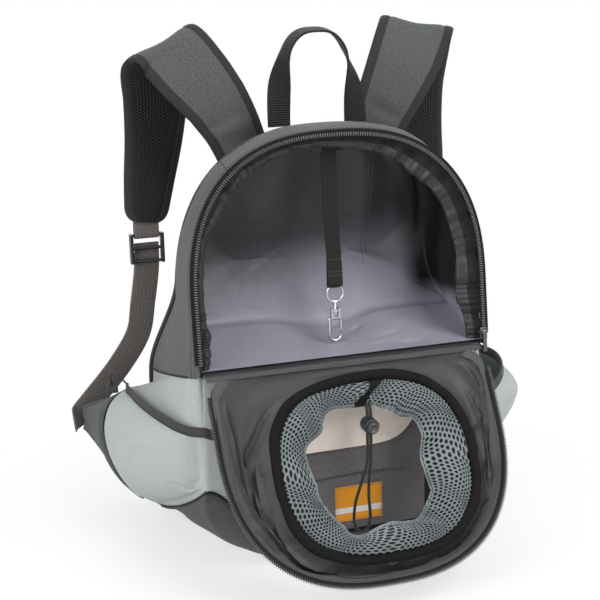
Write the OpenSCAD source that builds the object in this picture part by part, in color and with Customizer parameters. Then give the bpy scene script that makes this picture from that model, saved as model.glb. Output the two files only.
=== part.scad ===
// Carrier backpack with a zipped fold-down front flap, mesh window and inner leash.
// Millimetres. X to the right seen from the front, -Y to the front, +Z up, origin on the base.

/* [Opening and flap] */
// Half width of the zipped opening
rim_half_w = 140; // [120:1:160]
// Length of the flap from its hinge to its tip
flap_len = 210; // [194:1:220]
// Height of the flap hinge above the ground
hinge_z = 203; // [203:1:230]
// Distance of the hinge in front of the origin
hinge_front = 115; // [112:1:125]
// Length of the straight sides of the opening, where the slider runs
rim_straight = 64; // [56:1:80]
// Lean of the opening back from upright, degrees
rim_lean = 7; // [4:1:10]
// Angle of the opened flap in front of upright, degrees
flap_open = 32; // [26:1:38]
// Depth of the valley in the flap between its rim and the window
valley_depth = 15; // [8:1:20]
// Thickness of the flap cloth with its lining
flap_wall = 2.4; // [1.5:0.1:3]

/* [Window] */
// Half width of the bound window in the flap
window_half_w = 99; // [90:1:112]
// Half height of the bound window
window_half_h = 88; // [76:1:90]
// Distance of the window centre from the hinge
window_mid = 101; // [99:1:104]
// Half width of the drawstring hole in the mesh
hole_half_w = 58; // [40:1:70]
// Half height of the drawstring hole
hole_half_h = 60; // [50:1:68]
// Offset of the window to the right on the slack flap
window_off = 8; // [0:1:10]
// Puff of the mesh out of the window
mesh_puff = 12; // [6:1:16]
// Thickness of the air mesh
mesh_t = 2; // [1:0.1:3]
// Width of the binding round the window
window_bind_w = 7; // [5:0.5:9]

/* [Body] */
// Height of the roof at the back
top_z = 413; // [405:1:440]
// How far the back edge of the roof lies in front of the origin
top_back_front = 36; // [30:1:45]
// Backward run of the back panel per unit of fall
back_slope = 0.37; // [0.34:0.01:0.4]
// Half width of the back panel at mid height
back_half_w = 127; // [120:1:140]
// Thickness of the padded back panel
back_t = 10; // [6:0.5:14]
// Thickness of the gusset cloth with its lining
wall_t = 3; // [2:0.1:4]
// Half width of the flat base
base_half_w = 98; // [90:1:120]
// Half depth of the flat base
base_half_d = 78; // [70:1:88]
// Thickness of the base cloth
base_t = 3; // [2:0.1:4]
// Thickness of the stiffener board
board_t = 3; // [2:0.1:5]
// Distance of the lower front wall in front of the origin
front_wall_front = 100; // [97:1:102]
// Thickness of the front pocket over its wall
pocket_t = 3.6; // [2:0.1:4]
// Swell of the left side pocket away from its panel
pocket_swell_left = 22; // [10:1:40]
// Swell of the right side pocket, which stands fuller
pocket_swell_right = 52; // [16:1:60]
// Thickness of the side pocket cloth
side_pocket_t = 2; // [1.2:0.1:3]
// Half span of the hip wings, tip to tip
wing_half_span = 216; // [210:1:225]
// Thickness of the wing at its tip
wing_tip_t = 12; // [8:1:16]
// Thickness of the padded cabin floor
floor_t = 6; // [4:0.5:8]

/* [Zip] */
// Width of one zip half
zip_w = 3; // [2:0.1:4]
// Thickness of the zip coil
zip_t = 2.2; // [1.6:0.1:3]
// Gap between the two zip halves when closed
zip_gap = 0.4; // [0.3:0.1:1]
// Length of the zip slider
slider_len = 11; // [8:0.5:14]
// Length of the pull tab
pull_len = 20; // [14:1:26]

/* [Straps and handle] */
// Width of a shoulder strap at its ridge
strap_w = 74; // [60:1:80]
// Width of a shoulder strap at its lower end
strap_end_w = 42; // [34:1:48]
// Thickness of the strap padding
strap_t = 12; // [8:0.5:14]
// Width of the strap webbing
web_w = 25; // [20:1:28]
// Thickness of the webbing
web_t = 1.8; // [1.4:0.1:2.4]
// Half distance between the handle feet
handle_half = 38; // [32:1:42]
// Height of the handle loop above the roof
handle_h = 88; // [70:1:110]
// Thickness of the handle webbing
handle_t = 2.4; // [1.6:0.1:3]

/* [Leash] */
// Width of the leash webbing
leash_w = 15; // [12:1:18]
// Length of the leash webbing
leash_len = 128; // [110:1:129]
// Inner radius of the ring
ring_r = 7; // [6:0.5:9]
// Wire radius of the ring
ring_wire = 1.3; // [1:0.1:1.6]
// Length of the snap hook
hook_len = 26; // [20:1:28]
// Radius of the hook wire
hook_wire = 1.8; // [1.4:0.1:2.2]

/* [Cord lock] */
// Radius of the cord lock barrel
lock_r = 7.5; // [6.5:0.5:9]
// Length of the cord lock barrel
lock_len = 15; // [12:1:18]
// Radius of the cord hole through the barrel
lock_bore = 3.6; // [3.4:0.1:4]
// Travel of the push button
button_travel = 3; // [2:0.5:4]
// Diameter of the drawstring cord
cord_d = 2.5; // [2:0.1:2.8]

/* [Hidden] */
$fn = 32;

// Gap between sewn pieces that lie face to face
seam_gap = 0.2;
// Exponents of the squared-off curves
arch_exp = 2.5;
hinge_exp = 9;
window_exp = 2.6;
// Points along an arch and round a ring
arch_n = 30;
ring_n = 48;

// Outline rules

function lerp(a, b, f) = a + (b - a) * f;
function spow(v, e) = sign(v) * pow(abs(v), e);
function unit(v) = v / norm(v);
function flat(g) = [for (r = g) for (p = r) p];
function smooth(f) = f * f * (3 - 2 * f);

// Place on the opened flap: x across, t away from the hinge, d behind its plane
function flap_pt(x, t, d) = [
    x,
    -hinge_front - t * sin(flap_open) + d * cos(flap_open),
    hinge_z - t * cos(flap_open) - d * sin(flap_open)];

// Place on the opening: x across, t up from the hinge, d into the cabin
function rim_pt(x, t, d) = [
    x,
    -hinge_front + t * sin(rim_lean) + d * cos(rim_lean),
    hinge_z + t * cos(rim_lean) - d * sin(rim_lean)];

// Arch of the opening for s from 0 to 1, grown outwards by g: straight, squared round, straight
straight_share = 0.16;
function arch(s, g) =
    s < straight_share ? [-rim_half_w - g, rim_straight * s / straight_share]
    : s > 1 - straight_share ? [rim_half_w + g, rim_straight * (1 - s) / straight_share]
    : let (a = 180 - 180 * (s - straight_share) / (1 - 2 * straight_share))
      [(rim_half_w + g) * spow(cos(a), 2 / arch_exp),
       rim_straight + (flap_len - rim_straight + g) * spow(sin(a), 2 / arch_exp)];

// Closed outline of the flap for angle a, drawn in by g
flap_start = 0.4;
function flap_rim(a, g) = sin(a) >= 0
    ? [(rim_half_w - g) * spow(cos(a), 2 / arch_exp),
       rim_straight + (flap_len - rim_straight - g) * spow(sin(a), 2 / arch_exp)]
    : [(rim_half_w - g) * spow(cos(a), 2 / hinge_exp),
       rim_straight + (rim_straight - flap_start) * spow(sin(a), 2 / hinge_exp)];
// Outline round the window for angle a; share moves it off the flap's middle with the window
function oval(a, w, h, share = 1) = [
    window_off * share + w * spow(cos(a), 2 / window_exp),
    window_mid + h * spow(sin(a), 2 / window_exp)];

// Valley of the flap's cloth: deepest between the rim and the window, shallow near the hinge
valley_full_t = 100;
function valley(f, t) = valley_depth * sin(180 * f) * pow(min(1, max(0, t) / valley_full_t), 0.8);

// Back panel plane
function back_y(z) = -top_back_front + back_slope * (top_z - z);

// Heights of the side seams
seam_back_z = 165;
seam_back_y = 50;
seam_back_x = 150;
back_round_z = 262;

// Back outline of the gusset for s from 0 to 1
function back_arch(s) =
    s < straight_share ? let (f = s / straight_share)
        [-lerp(seam_back_x, back_half_w, smooth(f)), lerp(seam_back_z, back_round_z, f)]
    : s > 1 - straight_share ? let (f = (1 - s) / straight_share)
        [lerp(seam_back_x, back_half_w, smooth(f)), lerp(seam_back_z, back_round_z, f)]
    : let (a = 180 - 180 * (s - straight_share) / (1 - 2 * straight_share))
      [back_half_w * spow(cos(a), 2 / arch_exp),
       back_round_z + (top_z - back_round_z) * spow(sin(a), 2 / arch_exp)];

// Depth behind the zip's middle where the gusset starts, clear of the slider's back plate
slider_clear = 0.3;
plate_t = 1;
gusset_start = zip_t / 2 + slider_clear + plate_t + 2 * seam_gap;
// Point of the gusset: s along the arch, v from the opening to the back, inset from the outer face
rim_lip = 4;
gusset_swell = 7;
function gusset(s, v, inset) =
    let (r = arch(s, rim_lip - inset))
    let (f = rim_pt(r[0], r[1], gusset_start))
    let (b = back_arch(s))
    let (shrink = 1 - inset / back_half_w)
    let (k = [b[0] * shrink, back_y(b[1]), b[1] - (s > straight_share && s < 1 - straight_share
        ? inset * spow(sin(180 * (s - straight_share) / (1 - 2 * straight_share)), 0.5) : 0)])
    let (m = lerp(f, k, v))
    m + gusset_swell * 4 * v * (1 - v) * unit([r[0], 0, max(0, r[1] - rim_straight) + 0.01]);

// Solid builders

// Signed volume of a triangle mesh
function mesh_volume(p, tris) = [for (t = tris) p[t[0]] * cross(p[t[1]], p[t[2]])] * [for (t = tris) 1] / 6;

// Closed polyhedron with its faces turned outwards
module shell(p, tris) {
    polyhedron(p, mesh_volume(p, tris) < 0 ? tris : [for (t = tris) [t[0], t[2], t[1]]]);
}

// Two triangles for each cell of a grid of r rows and c columns; first index k
function cells(r, c, k, closed, up) = [
    for (i = [0 : r - 2], j = [0 : closed ? c - 1 : c - 2])
        let (a = k + i * c + j, b = k + i * c + (j + 1) % c, e = a + c, f = b + c)
        each up ? [[a, b, f], [a, f, e]] : [[a, f, b], [a, e, f]]];
// Wall between two lists of point numbers
function band(u, w, closed) = [
    for (j = [0 : len(u) - (closed ? 1 : 2)])
        let (n = (j + 1) % len(u))
        each [[u[j], w[j], w[n]], [u[j], w[n], u[n]]]];

// Solid between two grids of equal size
module slab(outer, inner) {
    r = len(outer);
    c = len(outer[0]);
    n = r * c;
    edge = concat([for (j = [0 : c - 1]) j], [for (i = [1 : r - 1]) i * c + c - 1],
        [for (j = [c - 2 : -1 : 0]) (r - 1) * c + j], [for (i = [r - 2 : -1 : 1]) i * c]);
    shell(concat(flat(outer), flat(inner)),
        concat(cells(r, c, 0, false, true), cells(r, c, n, false, false),
            band(edge, [for (e = edge) e + n], true)));
}

// Ring-shaped solid between two grids whose rows are closed loops
module ring_slab(outer, inner) {
    r = len(outer);
    c = len(outer[0]);
    n = r * c;
    first = [for (j = [0 : c - 1]) j];
    last = [for (j = [0 : c - 1]) (r - 1) * c + j];
    shell(concat(flat(outer), flat(inner)),
        concat(cells(r, c, 0, true, true), cells(r, c, n, true, false),
            band(first, [for (e = first) e + n], true),
            band([for (e = last) e + n], last, true)));
}

// Solid through a list of rings, with flat ends
module sweep(rings) {
    c = len(rings[0]);
    last = (len(rings) - 1) * c;
    shell(flat(rings), concat(cells(len(rings), c, 0, true, true),
        [for (j = [1 : c - 2]) [0, j + 1, j]], [for (j = [1 : c - 2]) [last, last + j, last + j + 1]]));
}

// Closed loop of rings
module loop_sweep(rings) {
    c = len(rings[0]);
    n = len(rings) * c;
    tris = cells(len(rings) + 1, c, 0, true, true);
    shell(flat(rings), [for (t = tris) [t[0] % n, t[1] % n, t[2] % n]]);
}

// Flat section of width w along u and thickness t along n
function strip_ring(p, u, n, w, t) = [
    for (k = [[-1, -1], [1, -1], [1, 1], [-1, 1]]) p + u * k[0] * w / 2 + n * k[1] * t / 2];
// Padded section with rounded edges
function pad_ring(p, u, n, w, t) = [
    for (a = [22.5 : 45 : 359]) p + u * (w / 2) * spow(cos(a), 0.5) + n * (t / 2) * spow(sin(a), 0.8)];
// Direction of a list of points at index i
function tangent(p, i) = unit(p[min(i + 1, len(p) - 1)] - p[max(i - 1, 0)]);
// Smooth curve through hand-set points, k steps to a span
function curve(p, k) = [
    for (i = [0 : len(p) - 2], j = [0 : k - 1])
        let (a = p[max(i - 1, 0)], b = p[i], c = p[i + 1], d = p[min(i + 2, len(p) - 1)], f = j / k)
        b + ((c - a) * f + (2 * a - 5 * b + 4 * c - d) * f * f + (3 * b - a - 3 * c + d) * f * f * f) / 2,
    p[len(p) - 1]];

// Upper body

module gusset_part(s0, s1, n) {
    rows = [for (i = [0 : n]) lerp(s0, s1, i / n)];
    cols = [0 : 1 / 6 : 1.001];
    color("#5a5c5e") slab([for (s = rows) [for (v = cols) gusset(s, v, 0)]],
        [for (s = rows) [for (v = cols) gusset(s, v, wall_t)]]);
}
roof_from = 0.34;
module cabin_wall_left() { gusset_part(0, roof_from, 12); }
module cabin_roof() { gusset_part(roof_from, 1 - roof_from, 12); }
module cabin_wall_right() { gusset_part(1 - roof_from, 1, 12); }

// Half width of the back panel at height z, from the base to the roof
low_back_half_w = 126;
function back_half(z) = z < seam_back_z
    ? lerp(low_back_half_w, seam_back_x, smooth(z / seam_back_z))
    : z < back_round_z
    ? lerp(seam_back_x, back_half_w, smooth((z - seam_back_z) / (back_round_z - seam_back_z)))
    : back_half_w * pow(1 - pow(min(1, (z - back_round_z) / (top_z - back_round_z)), arch_exp), 1 / arch_exp);
// Rows of the panel, closer together towards the roof, and its half width at the very top
back_rows = 26;
back_top_half = 12;
module back_sheet(z0, z1, y0, y1, margin, tint) {
    zs = [for (i = [0 : back_rows]) lerp(z0, z1, 1 - pow(1 - i / back_rows, 1.5))];
    cols = [-1 : 0.25 : 1];
    function half(z) = max(back_top_half, back_half(z) - margin);
    color(tint) slab([for (z = zs) [for (u = cols) [u * half(z), back_y(z) + y1, z]]],
        [for (z = zs) [for (u = cols) [u * half(z), back_y(z) + y0, z]]]);
}
back_gap = 0.1;
sheet_t = 2;
// Places of the stiffener sheet inside the panel's outline
stiffener_low = 28;
stiffener_drop = 18;
stiffener_margin = 14;
module back_panel() { back_sheet(side_low_z, top_z, back_gap, back_t, 0, "#4c4e50"); }
module back_stiffener() {
    back_sheet(stiffener_low, top_z - stiffener_drop, -sheet_t - back_gap, -back_gap,
        stiffener_margin, "#2e2e30");
}

// Cabin floor: flat near the front, rising towards the back, with the hinge tape as its lip
floor_flat_y = -30;
floor_rise = 10;
floor_back_gap = 0.5;
lip_t = 1.5;
tape_lip = 0.5;
// The lip stays thin for lip_run, then thickens to the full pad; the pad clears the side walls
lip_run = 16;
lip_slope = 0.25;
floor_side_gap = 10;
module cabin_floor() {
    y0 = -hinge_front + tape_lip;
    y1 = back_y(hinge_z + floor_rise + lip_t) - sheet_t - floor_back_gap;
    ys = [for (i = [0 : 8]) lerp(y0, y1, i / 8)];
    cols = [-1 : 0.25 : 1];
    function top(y) = hinge_z + lip_t + floor_rise * smooth(max(0, (y - floor_flat_y) / (y1 - floor_flat_y)));
    function low(y) = top(y) - min(floor_t, lip_t + max(0, (y - y0 - lip_run) * lip_slope));
    half = rim_half_w - floor_side_gap;
    color("#7c7a8c") slab([for (y = ys) [for (u = cols) [u * half, y, top(y)]]],
        [for (y = ys) [for (u = cols) [u * half, y, low(y)]]]);
}

// Lower body

front_corner_x = 137;
front_corner_y = -front_wall_front;
front_low_z = 24;
corner_low_z = 86;
side_low_z = 24;
side_low_x = 157;
// Height of the bottom panel's edge along the front, f from the middle to the corner
function front_edge_z(f) = lerp(front_low_z, corner_low_z, smooth(max(0, f * 2 - 1)));
// Seam under the side panel, p from the front corner to the back
function low_seam(p) = [
    lerp(front_corner_x, side_low_x, p),
    lerp(front_corner_y, seam_back_y, p),
    side_low_z + (corner_low_z - side_low_z) * pow(1 - p, 1.6)];
// Seam over the side panel
function high_seam(p) =
    let (g = gusset(1, p * (seam_back_y + hinge_front) / (back_y(seam_back_z) + hinge_front), 0))
    lerp([front_corner_x, front_corner_y, hinge_z - 3], g + [0, 0, -0.1], min(1, p * 6));
panel_swell = 14;
// Side panel: p front to back, q from top to bottom; the back swells out, high up, to meet the wing
wing_root_out = 51;
// Share of the height that stays flat over the wing
wing_drop = 0.12;
function side_pt(p, q, grow) =
    let (m = lerp(high_seam(p), low_seam(p), q), flat = wing_drop * p * p)
    let (out = panel_swell * sin(180 * p) + wing_root_out * pow(p, 2.4))
    let (k = max(0, (q - flat) / (1 - flat)))
    m + [out * pow(sin(180 * pow(k, lerp(1.4, 0.6, p))), lerp(1.1, 0.5, p)) + grow, 0, 0];
module on_side(side) { if (side < 0) mirror([1, 0, 0]) children(); else children(); }
panel_n = 12;
module side_panel(side) {
    g = [for (i = [0 : panel_n]) i / panel_n];
    color("#a5afb2") on_side(side) slab([for (p = g) [for (q = g) side_pt(p, q, 0)]],
        [for (p = g) [for (q = g) side_pt(p, q, -wall_t)]]);
}
module side_panel_left() { side_panel(-1); }
module side_panel_right() { side_panel(1); }

// Side pocket: bulging wall sewn to the panel along three edges, open at its bound top
pocket_p0 = 0.06;
pocket_p1 = 0.96;
pocket_low_q = 0.94;
pocket_seat = 1;
mouth_front_q = 0.5;
mouth_back_q = 0.13;
// Share of the swell at the mouth, where the left pocket lies close and the right one stands open
mouth_share_left = 0.35;
mouth_share_right = 0.7;
// Height of the mouth on the panel, falling in a bow to the front
function mouth_q(f) = lerp(mouth_back_q, mouth_front_q, pow(1 - f, 1.8));
// Pocket wall: f front to back, g from the mouth down; fullest a third of the way down
function pocket_pt(side, f, g, grow) =
    let (p = lerp(pocket_p0, pocket_p1, f), q = lerp(mouth_q(f), pocket_low_q, g))
    let (swell = side < 0 ? pocket_swell_left : pocket_swell_right)
    let (mouth_share = side < 0 ? mouth_share_left : mouth_share_right)
    side_pt(p, q, pocket_seat + grow + swell * pow(sin(180 * f), 0.7)
        * lerp(mouth_share, 1, sin(min(90, 270 * g))) * pow(cos(90 * g), 0.6));
module side_pocket(side) {
    g = [for (i = [0 : panel_n]) i / panel_n];
    color("#a5afb2") on_side(side) slab([for (f = g) [for (h = g) pocket_pt(side, f, h, side_pocket_t)]],
        [for (f = g) [for (h = g) pocket_pt(side, f, h, 0)]]);
}
module side_pocket_left() { side_pocket(-1); }
module side_pocket_right() { side_pocket(1); }

// Binding along the mouth of the side pocket
bind_h = 7;
bind_lift = 0.5;
module pocket_binding(side) {
    color("#3c3b3b") on_side(side) sweep([for (i = [0 : 16])
        let (f = 0.02 + 0.96 * i / 16, m = pocket_pt(side, f, 0, side_pocket_t / 2))
        strip_ring(m + [0, 0, bind_h / 2 + bind_lift], [0, 0, 1], [1, 0, 0], bind_h, side_pocket_t)]);
}
module pocket_binding_left() { pocket_binding(-1); }
module pocket_binding_right() { pocket_binding(1); }

// Hip wing: padded wedge between the side panel's back edge, its tip and the back panel
wing_tip_y = 88;
wing_tip_low = 92;
wing_tip_high = 126;
wing_gap = 0.3;
module wing(side) {
    zs = [for (i = [0 : 10]) i / 10];
    function front(q) = side_pt(1, q, 0) + [0, wing_gap, 0];
    function tip(q) = [wing_half_span, wing_tip_y, lerp(wing_tip_high, wing_tip_low, q)];
    function root(q) =
        let (z = lerp(seam_back_z - 6, side_low_z, q)) [back_half(z) + wing_gap, back_y(z) + back_t * 0.6, z];
    function row(q) = let (a = front(q), t = tip(q), b = root(q))
        [a, lerp(a, t, 0.5) + [2, -6, 0], t + [0, -wing_tip_t / 2, 0], t + [0, wing_tip_t / 2, 0],
         lerp(t, b, 0.5) + [0, 6, 0], b, [b[0], a[1], (a[2] + b[2]) / 2]];
    color("#48494b") on_side(side) sweep([for (q = zs) row(lerp(wing_drop + 0.02, 0.98, q))]);
}
module wing_left() { wing(-1); }
module wing_right() { wing(1); }

// Lower front wall between the side panels
front_wall_t = 2.5;
wall_low_gap = 1.9;
module lower_front_wall() {
    half = front_corner_x - wall_t - 0.5;
    top = hinge_z - floor_t + 2 * lip_t;
    cols = [-1 : 1 / 8 : 1];
    rows = [0 : 0.2 : 1];
    function low(u) = front_edge_z(abs(u) * half / front_corner_x) + wall_low_gap;
    function at(u, f, y) = [u * half, y, lerp(low(u), top, f)];
    color("#4a4b4d") slab([for (f = rows) [for (u = cols) at(u, f, -front_wall_front)]],
        [for (f = rows) [for (u = cols) at(u, f, -front_wall_front + front_wall_t)]]);
}

// Front pocket with a pleat, laid on the lower front wall
front_pocket_half = 84;
front_pocket_low = 34;
front_pocket_high = 168;
pleat_z = 86;
pleat_drop = 1.4;
pleat_half = 3;
module front_pocket() {
    zs = [front_pocket_low, lerp(front_pocket_low, pleat_z, 0.5), pleat_z - pleat_half, pleat_z,
        pleat_z + pleat_half, lerp(pleat_z, front_pocket_high, 0.5), front_pocket_high];
    cols = [-1 : 0.25 : 1];
    seat_y = -front_wall_front - seam_gap / 2;
    function out(u, z) = pocket_t * (1 - 0.6 * pow(abs(u), 4)) - (z == pleat_z ? pleat_drop : 0);
    color("#58595b") slab(
        [for (z = zs) [for (u = cols) [u * front_pocket_half, seat_y - out(u, z), z]]],
        [for (z = zs) [for (u = cols) [u * front_pocket_half, seat_y, z]]]);
}
label_w = 48;
label_h = 36;
label_z = 37;
label_t = 0.6;
label_x = 13;
module pocket_label() {
    face_y = -front_wall_front - pocket_t - seam_gap;
    color("#e8a030") translate([label_x - label_w / 2, face_y - label_t, label_z])
        cube([label_w, label_t, label_h]);
}

// Bottom panel: tub from the flat base up to the side seams and the front wall
base_mid_y = 4;
tub_swell = 16;
tub_gap = 1.2;
base_exp = 3.4;
function base_pt(a) = [
    base_half_w * spow(cos(a), 2 / base_exp), base_mid_y + base_half_d * spow(sin(a), 2 / base_exp), 0];
// Shares of the tub's round: front, side and back, from the front middle to the back middle
tub_front = 0.34;
tub_side = 0.8;
tub_corner = 0.9;
function tub_back(z) = back_y(z) + back_t / 2;
// Upper edge of the tub for w from -1 (back) over 0 (front middle) to 1 (back)
function tub_edge(w) =
    let (s = sign(w), m = abs(w), b = [low_back_half_w, tub_back(side_low_z), side_low_z], c = low_seam(1))
    let (e = m < tub_front ? let (f = m / tub_front)
            [f * front_corner_x, front_corner_y, front_edge_z(f)]
        : m < tub_side ? low_seam((m - tub_front) / (tub_side - tub_front))
        : m < tub_corner ? lerp(c, b, (m - tub_side) / (tub_corner - tub_side))
        : [b[0] * (1 - m) / (1 - tub_corner), b[1], b[2]])
    [s * e[0], e[1], e[2] - tub_gap];
function tub_pt(w, q, inset) =
    let (b = base_pt(-90 + 180 * w), e = tub_edge(w))
    let (away = unit([b[0] / base_half_w, (b[1] - base_mid_y) / base_half_d, 0]))
    lerp(b, e, q) + away * (tub_swell * pow(sin(180 * q), 0.6) - inset);
tub_rows = 7;
module bottom_panel() {
    ws = [for (i = [0 : ring_n - 1]) -1 + 2 * (i + 0.5) / ring_n];
    qs = [for (i = [0 : tub_rows]) i / tub_rows];
    color("#4a4b4d") {
        ring_slab([for (q = qs) [for (w = ws) tub_pt(w, q, 0)]],
            [for (q = qs) [for (w = ws) tub_pt(w, q, wall_t)]]);
        linear_extrude(base_t) polygon([for (w = ws) let (b = tub_pt(w, 0, wall_t + 0.05)) [b[0], b[1]]]);
    }
}
board_margin = 10;
module base_board() {
    color("#8a7350") translate([0, 0, base_t + 0.1]) linear_extrude(board_t)
        polygon([for (i = [0 : ring_n - 1]) let (b = base_pt(360 * i / ring_n))
            [b[0] * (1 - board_margin / base_half_w),
             base_mid_y + (b[1] - base_mid_y) * (1 - board_margin / base_half_d)]]);
}

// Small tab with a hole on the left wing, for the cord loop
side_tab_r = 6;
side_tab_t = 1.2;
side_tab_hole = 2.6;
side_tab_at = [192, 62, 148];
side_tab_drop = 7;
module side_tab() {
    color("#2c2c2c") on_side(-1) translate(side_tab_at) rotate([90, 0, 0]) difference() {
        hull() {
            cylinder(r = side_tab_r, h = side_tab_t);
            translate([-side_tab_r, -side_tab_drop, 0]) cube([2 * side_tab_r, 1, side_tab_t]);
        }
        translate([0, 0, -1]) cylinder(r = side_tab_hole, h = side_tab_t + 2);
    }
}

// Zip halves

zip_start = 0.03;
// Width of the zip tape that shows outside the gusset's edge
tape_out = 0.8;
// The coil with its tape, which turns back to the gusset's edge
module body_zip() {
    color("#222222") sweep([for (i = [0 : 2 * arch_n])
        let (s = lerp(zip_start, 1 - zip_start, i / (2 * arch_n)), h = zip_t / 2, k = gusset_start - seam_gap)
        let (a = arch(s, zip_gap / 2), b = arch(s, zip_gap / 2 + zip_w + slider_clear))
        let (c = arch(s, rim_lip + tape_out))
        [rim_pt(a[0], a[1], -h), rim_pt(c[0], c[1], -h), rim_pt(c[0], c[1], k),
         rim_pt(b[0], b[1], k), rim_pt(b[0], b[1], h), rim_pt(a[0], a[1], h)]]);
}

// Flap

ring_angles = [for (i = [0 : ring_n - 1]) 360 * i / ring_n];
shell_inset = zip_gap / 2 + zip_w + 3 * slider_clear;
shell_rows = 5;
// Depth of the cloth's face behind the flap's plane
cloth_back = 0.4;
// Point of the flap's cloth: f from the rim to the window, k behind the face
function cloth_pt(a, f, k) =
    let (r = flap_rim(a, shell_inset), w = oval(a, window_half_w, window_half_h), m = lerp(r, w, f))
    flap_pt(m[0], m[1], cloth_back + k + valley(f, m[1]));
module flap_shell() {
    fs = [for (i = [0 : shell_rows]) i / shell_rows];
    color("#2d2b2d") ring_slab([for (f = fs) [for (a = ring_angles) cloth_pt(a, f, 0)]],
        [for (f = fs) [for (a = ring_angles) cloth_pt(a, f, flap_wall)]]);
}
// Zip half on the flap; the slider's run on the right side is left open
flap_zip_from = 14;
flap_zip_to = 192;
module flap_zip() {
    color("#222222") sweep([for (i = [0 : 2 * arch_n])
        let (a = lerp(flap_zip_from, flap_zip_to, i / (2 * arch_n)), o = flap_rim(a, zip_gap / 2),
             n = flap_rim(a, zip_gap / 2 + zip_w))
        [flap_pt(o[0], o[1], -zip_t / 2), flap_pt(n[0], n[1], -zip_t / 2),
         flap_pt(n[0], n[1], zip_t / 2), flap_pt(o[0], o[1], zip_t / 2)]]);
}

bind_t = 3;
bind_gap = 0.2;
// Share of the window's offset that the hole takes, and depth of its hem
hole_share = 0.4;
hem_back = 2;
// Point of the window's cloth: f from the window edge to the hole, k behind the face
function mesh_pt(a, f, k) =
    let (w = oval(a, window_half_w - window_bind_w, window_half_h - window_bind_w),
         h = oval(a, hole_half_w, hole_half_h, hole_share), m = lerp(w, h, f))
    flap_pt(m[0], m[1], cloth_back + k + hem_back * f - mesh_puff * sin(180 * f));
module window_mesh() {
    fs = [for (i = [0 : 4]) i / 4];
    color("#8c9ea0") ring_slab([for (f = fs) [for (a = ring_angles) mesh_pt(a, f, 0)]],
        [for (f = fs) [for (a = ring_angles) mesh_pt(a, f, mesh_t)]]);
}
module window_binding() {
    function edge(a, g, k) =
        let (w = oval(a, window_half_w - g, window_half_h - g)) flap_pt(w[0], w[1], cloth_back + k);
    far = window_bind_w - bind_gap;
    color("#262424") loop_sweep([for (a = ring_angles)
        [edge(a, bind_gap, -cloth_back), edge(a, far, -cloth_back),
         edge(a, far, bind_t), edge(a, bind_gap, bind_t)]]);
}
// Seam tape laid on the mesh from the binding to the hole
tape_w = 9;
tape_t = 0.8;
tape_a = 274;
module mesh_tape() {
    color("#201f20") sweep([for (i = [0 : 6])
        let (m = mesh_pt(tape_a, 0.04 + 0.92 * i / 6, -0.5), n = [0, -cos(flap_open), sin(flap_open)])
        strip_ring(m + n * tape_t / 2, [1, 0, 0], n, tape_w, tape_t)]);
}
// Storm flap hanging from the hinge side behind the window
storm_half = 74;
storm_top = 3;
storm_len = 78;
storm_t = 1.2;
// Rise of the free edge at its right end, and how late it sets in
storm_slant = 48;
storm_bow = 2.2;
storm_back = 6.5;
// Place of the flap's back face at the height of the storm flap's top
storm_gap = 0.3;
storm_from = (storm_top - (cloth_back + flap_wall) * sin(flap_open)) / cos(flap_open);
storm_seat = flap_pt(0, storm_from, cloth_back + flap_wall)[1] + hinge_front + storm_gap;
module storm_flap() {
    fs = [for (i = [0 : 5]) i / 5];
    cols = [-1 : 0.25 : 1];
    function y(f) = -hinge_front + lerp(storm_seat, storm_back, min(1, 2.5 * f));
    function z(u, f) = hinge_z - storm_top - f * (storm_len - storm_slant * pow(max(0, u), storm_bow));
    color("#cdc6bc") slab([for (f = fs) [for (u = cols) [u * storm_half, y(f), z(u, f)]]],
        [for (f = fs) [for (u = cols) [u * storm_half, y(f) + storm_t, z(u, f)]]]);
}

// Drawstring: out of the hem, down through the lock, round a bend and back up
cord_x = 12;
cord_y = -138;
cord_route = [
    [10.3, -134.1, 166], [10.3, -136, 162.8], [10.3, -137.6, 158.5], [10.3, -138, 154], [10.3, -138, 146],
    [10.3, -138, 138], [10.3, -138, 130], [10.3, -138, 120], [9.5, -138, 108], [6, -138, 96], [2, -138, 84],
    [-2, -138, 72], [-4, -138, 60], [-4, -138, 50], [-1, -138, 42], [4, -138, 39], [9, -138, 42],
    [12, -138, 50], [12, -138, 60], [11, -138, 72], [11, -138, 84], [12, -138, 96], [13.3, -138, 108],
    [13.7, -138, 120], [13.7, -138, 130], [13.7, -138, 138], [13.7, -138, 146], [13.7, -138, 154],
    [13.7, -137.6, 158.5], [13.7, -136, 162.8], [13.7, -134.1, 166]];
module drawstring() {
    p = curve(cord_route, 3);
    color("#1c1b1b") sweep([for (i = [0 : len(p) - 1])
        let (t = tangent(p, i), u = unit(cross(t, [0, 1, 0.01])), n = cross(t, u))
        [for (k = [0 : 7]) p[i] + (cord_d / 2) * (u * cos(45 * k) + n * sin(45 * k))]]);
}

// Cord lock, end towards the front; the button sits in its front end
lock_z = 146;
lock_wall = 1.6;
button_r = 5.4;
button_gap = 0.05;
button_seat = 6;
button_proud = 4;
lock_front = cord_y - 9;
module cord_lock() {
    color("#1f1f20") translate([cord_x, lock_front, lock_z]) rotate([-90, 0, 0]) difference() {
        cylinder(r = lock_r, h = lock_len);
        translate([0, 0, -1]) cylinder(r = button_r + button_gap, h = 1 + button_seat - lock_wall);
        translate([0, 0, -lock_front + cord_y]) rotate([90, 0, 0])
            cylinder(r = lock_bore, h = 4 * lock_r, center = true);
    }
}
module lock_button() {
    h = button_proud + button_seat - lock_wall - button_travel - 0.2;
    color("#2a2a2b") translate([cord_x, lock_front - button_proud, lock_z]) rotate([-90, 0, 0])
        cylinder(r = button_r, h = h);
}

// Slider and pull on the right straight side of the body zip

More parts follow.
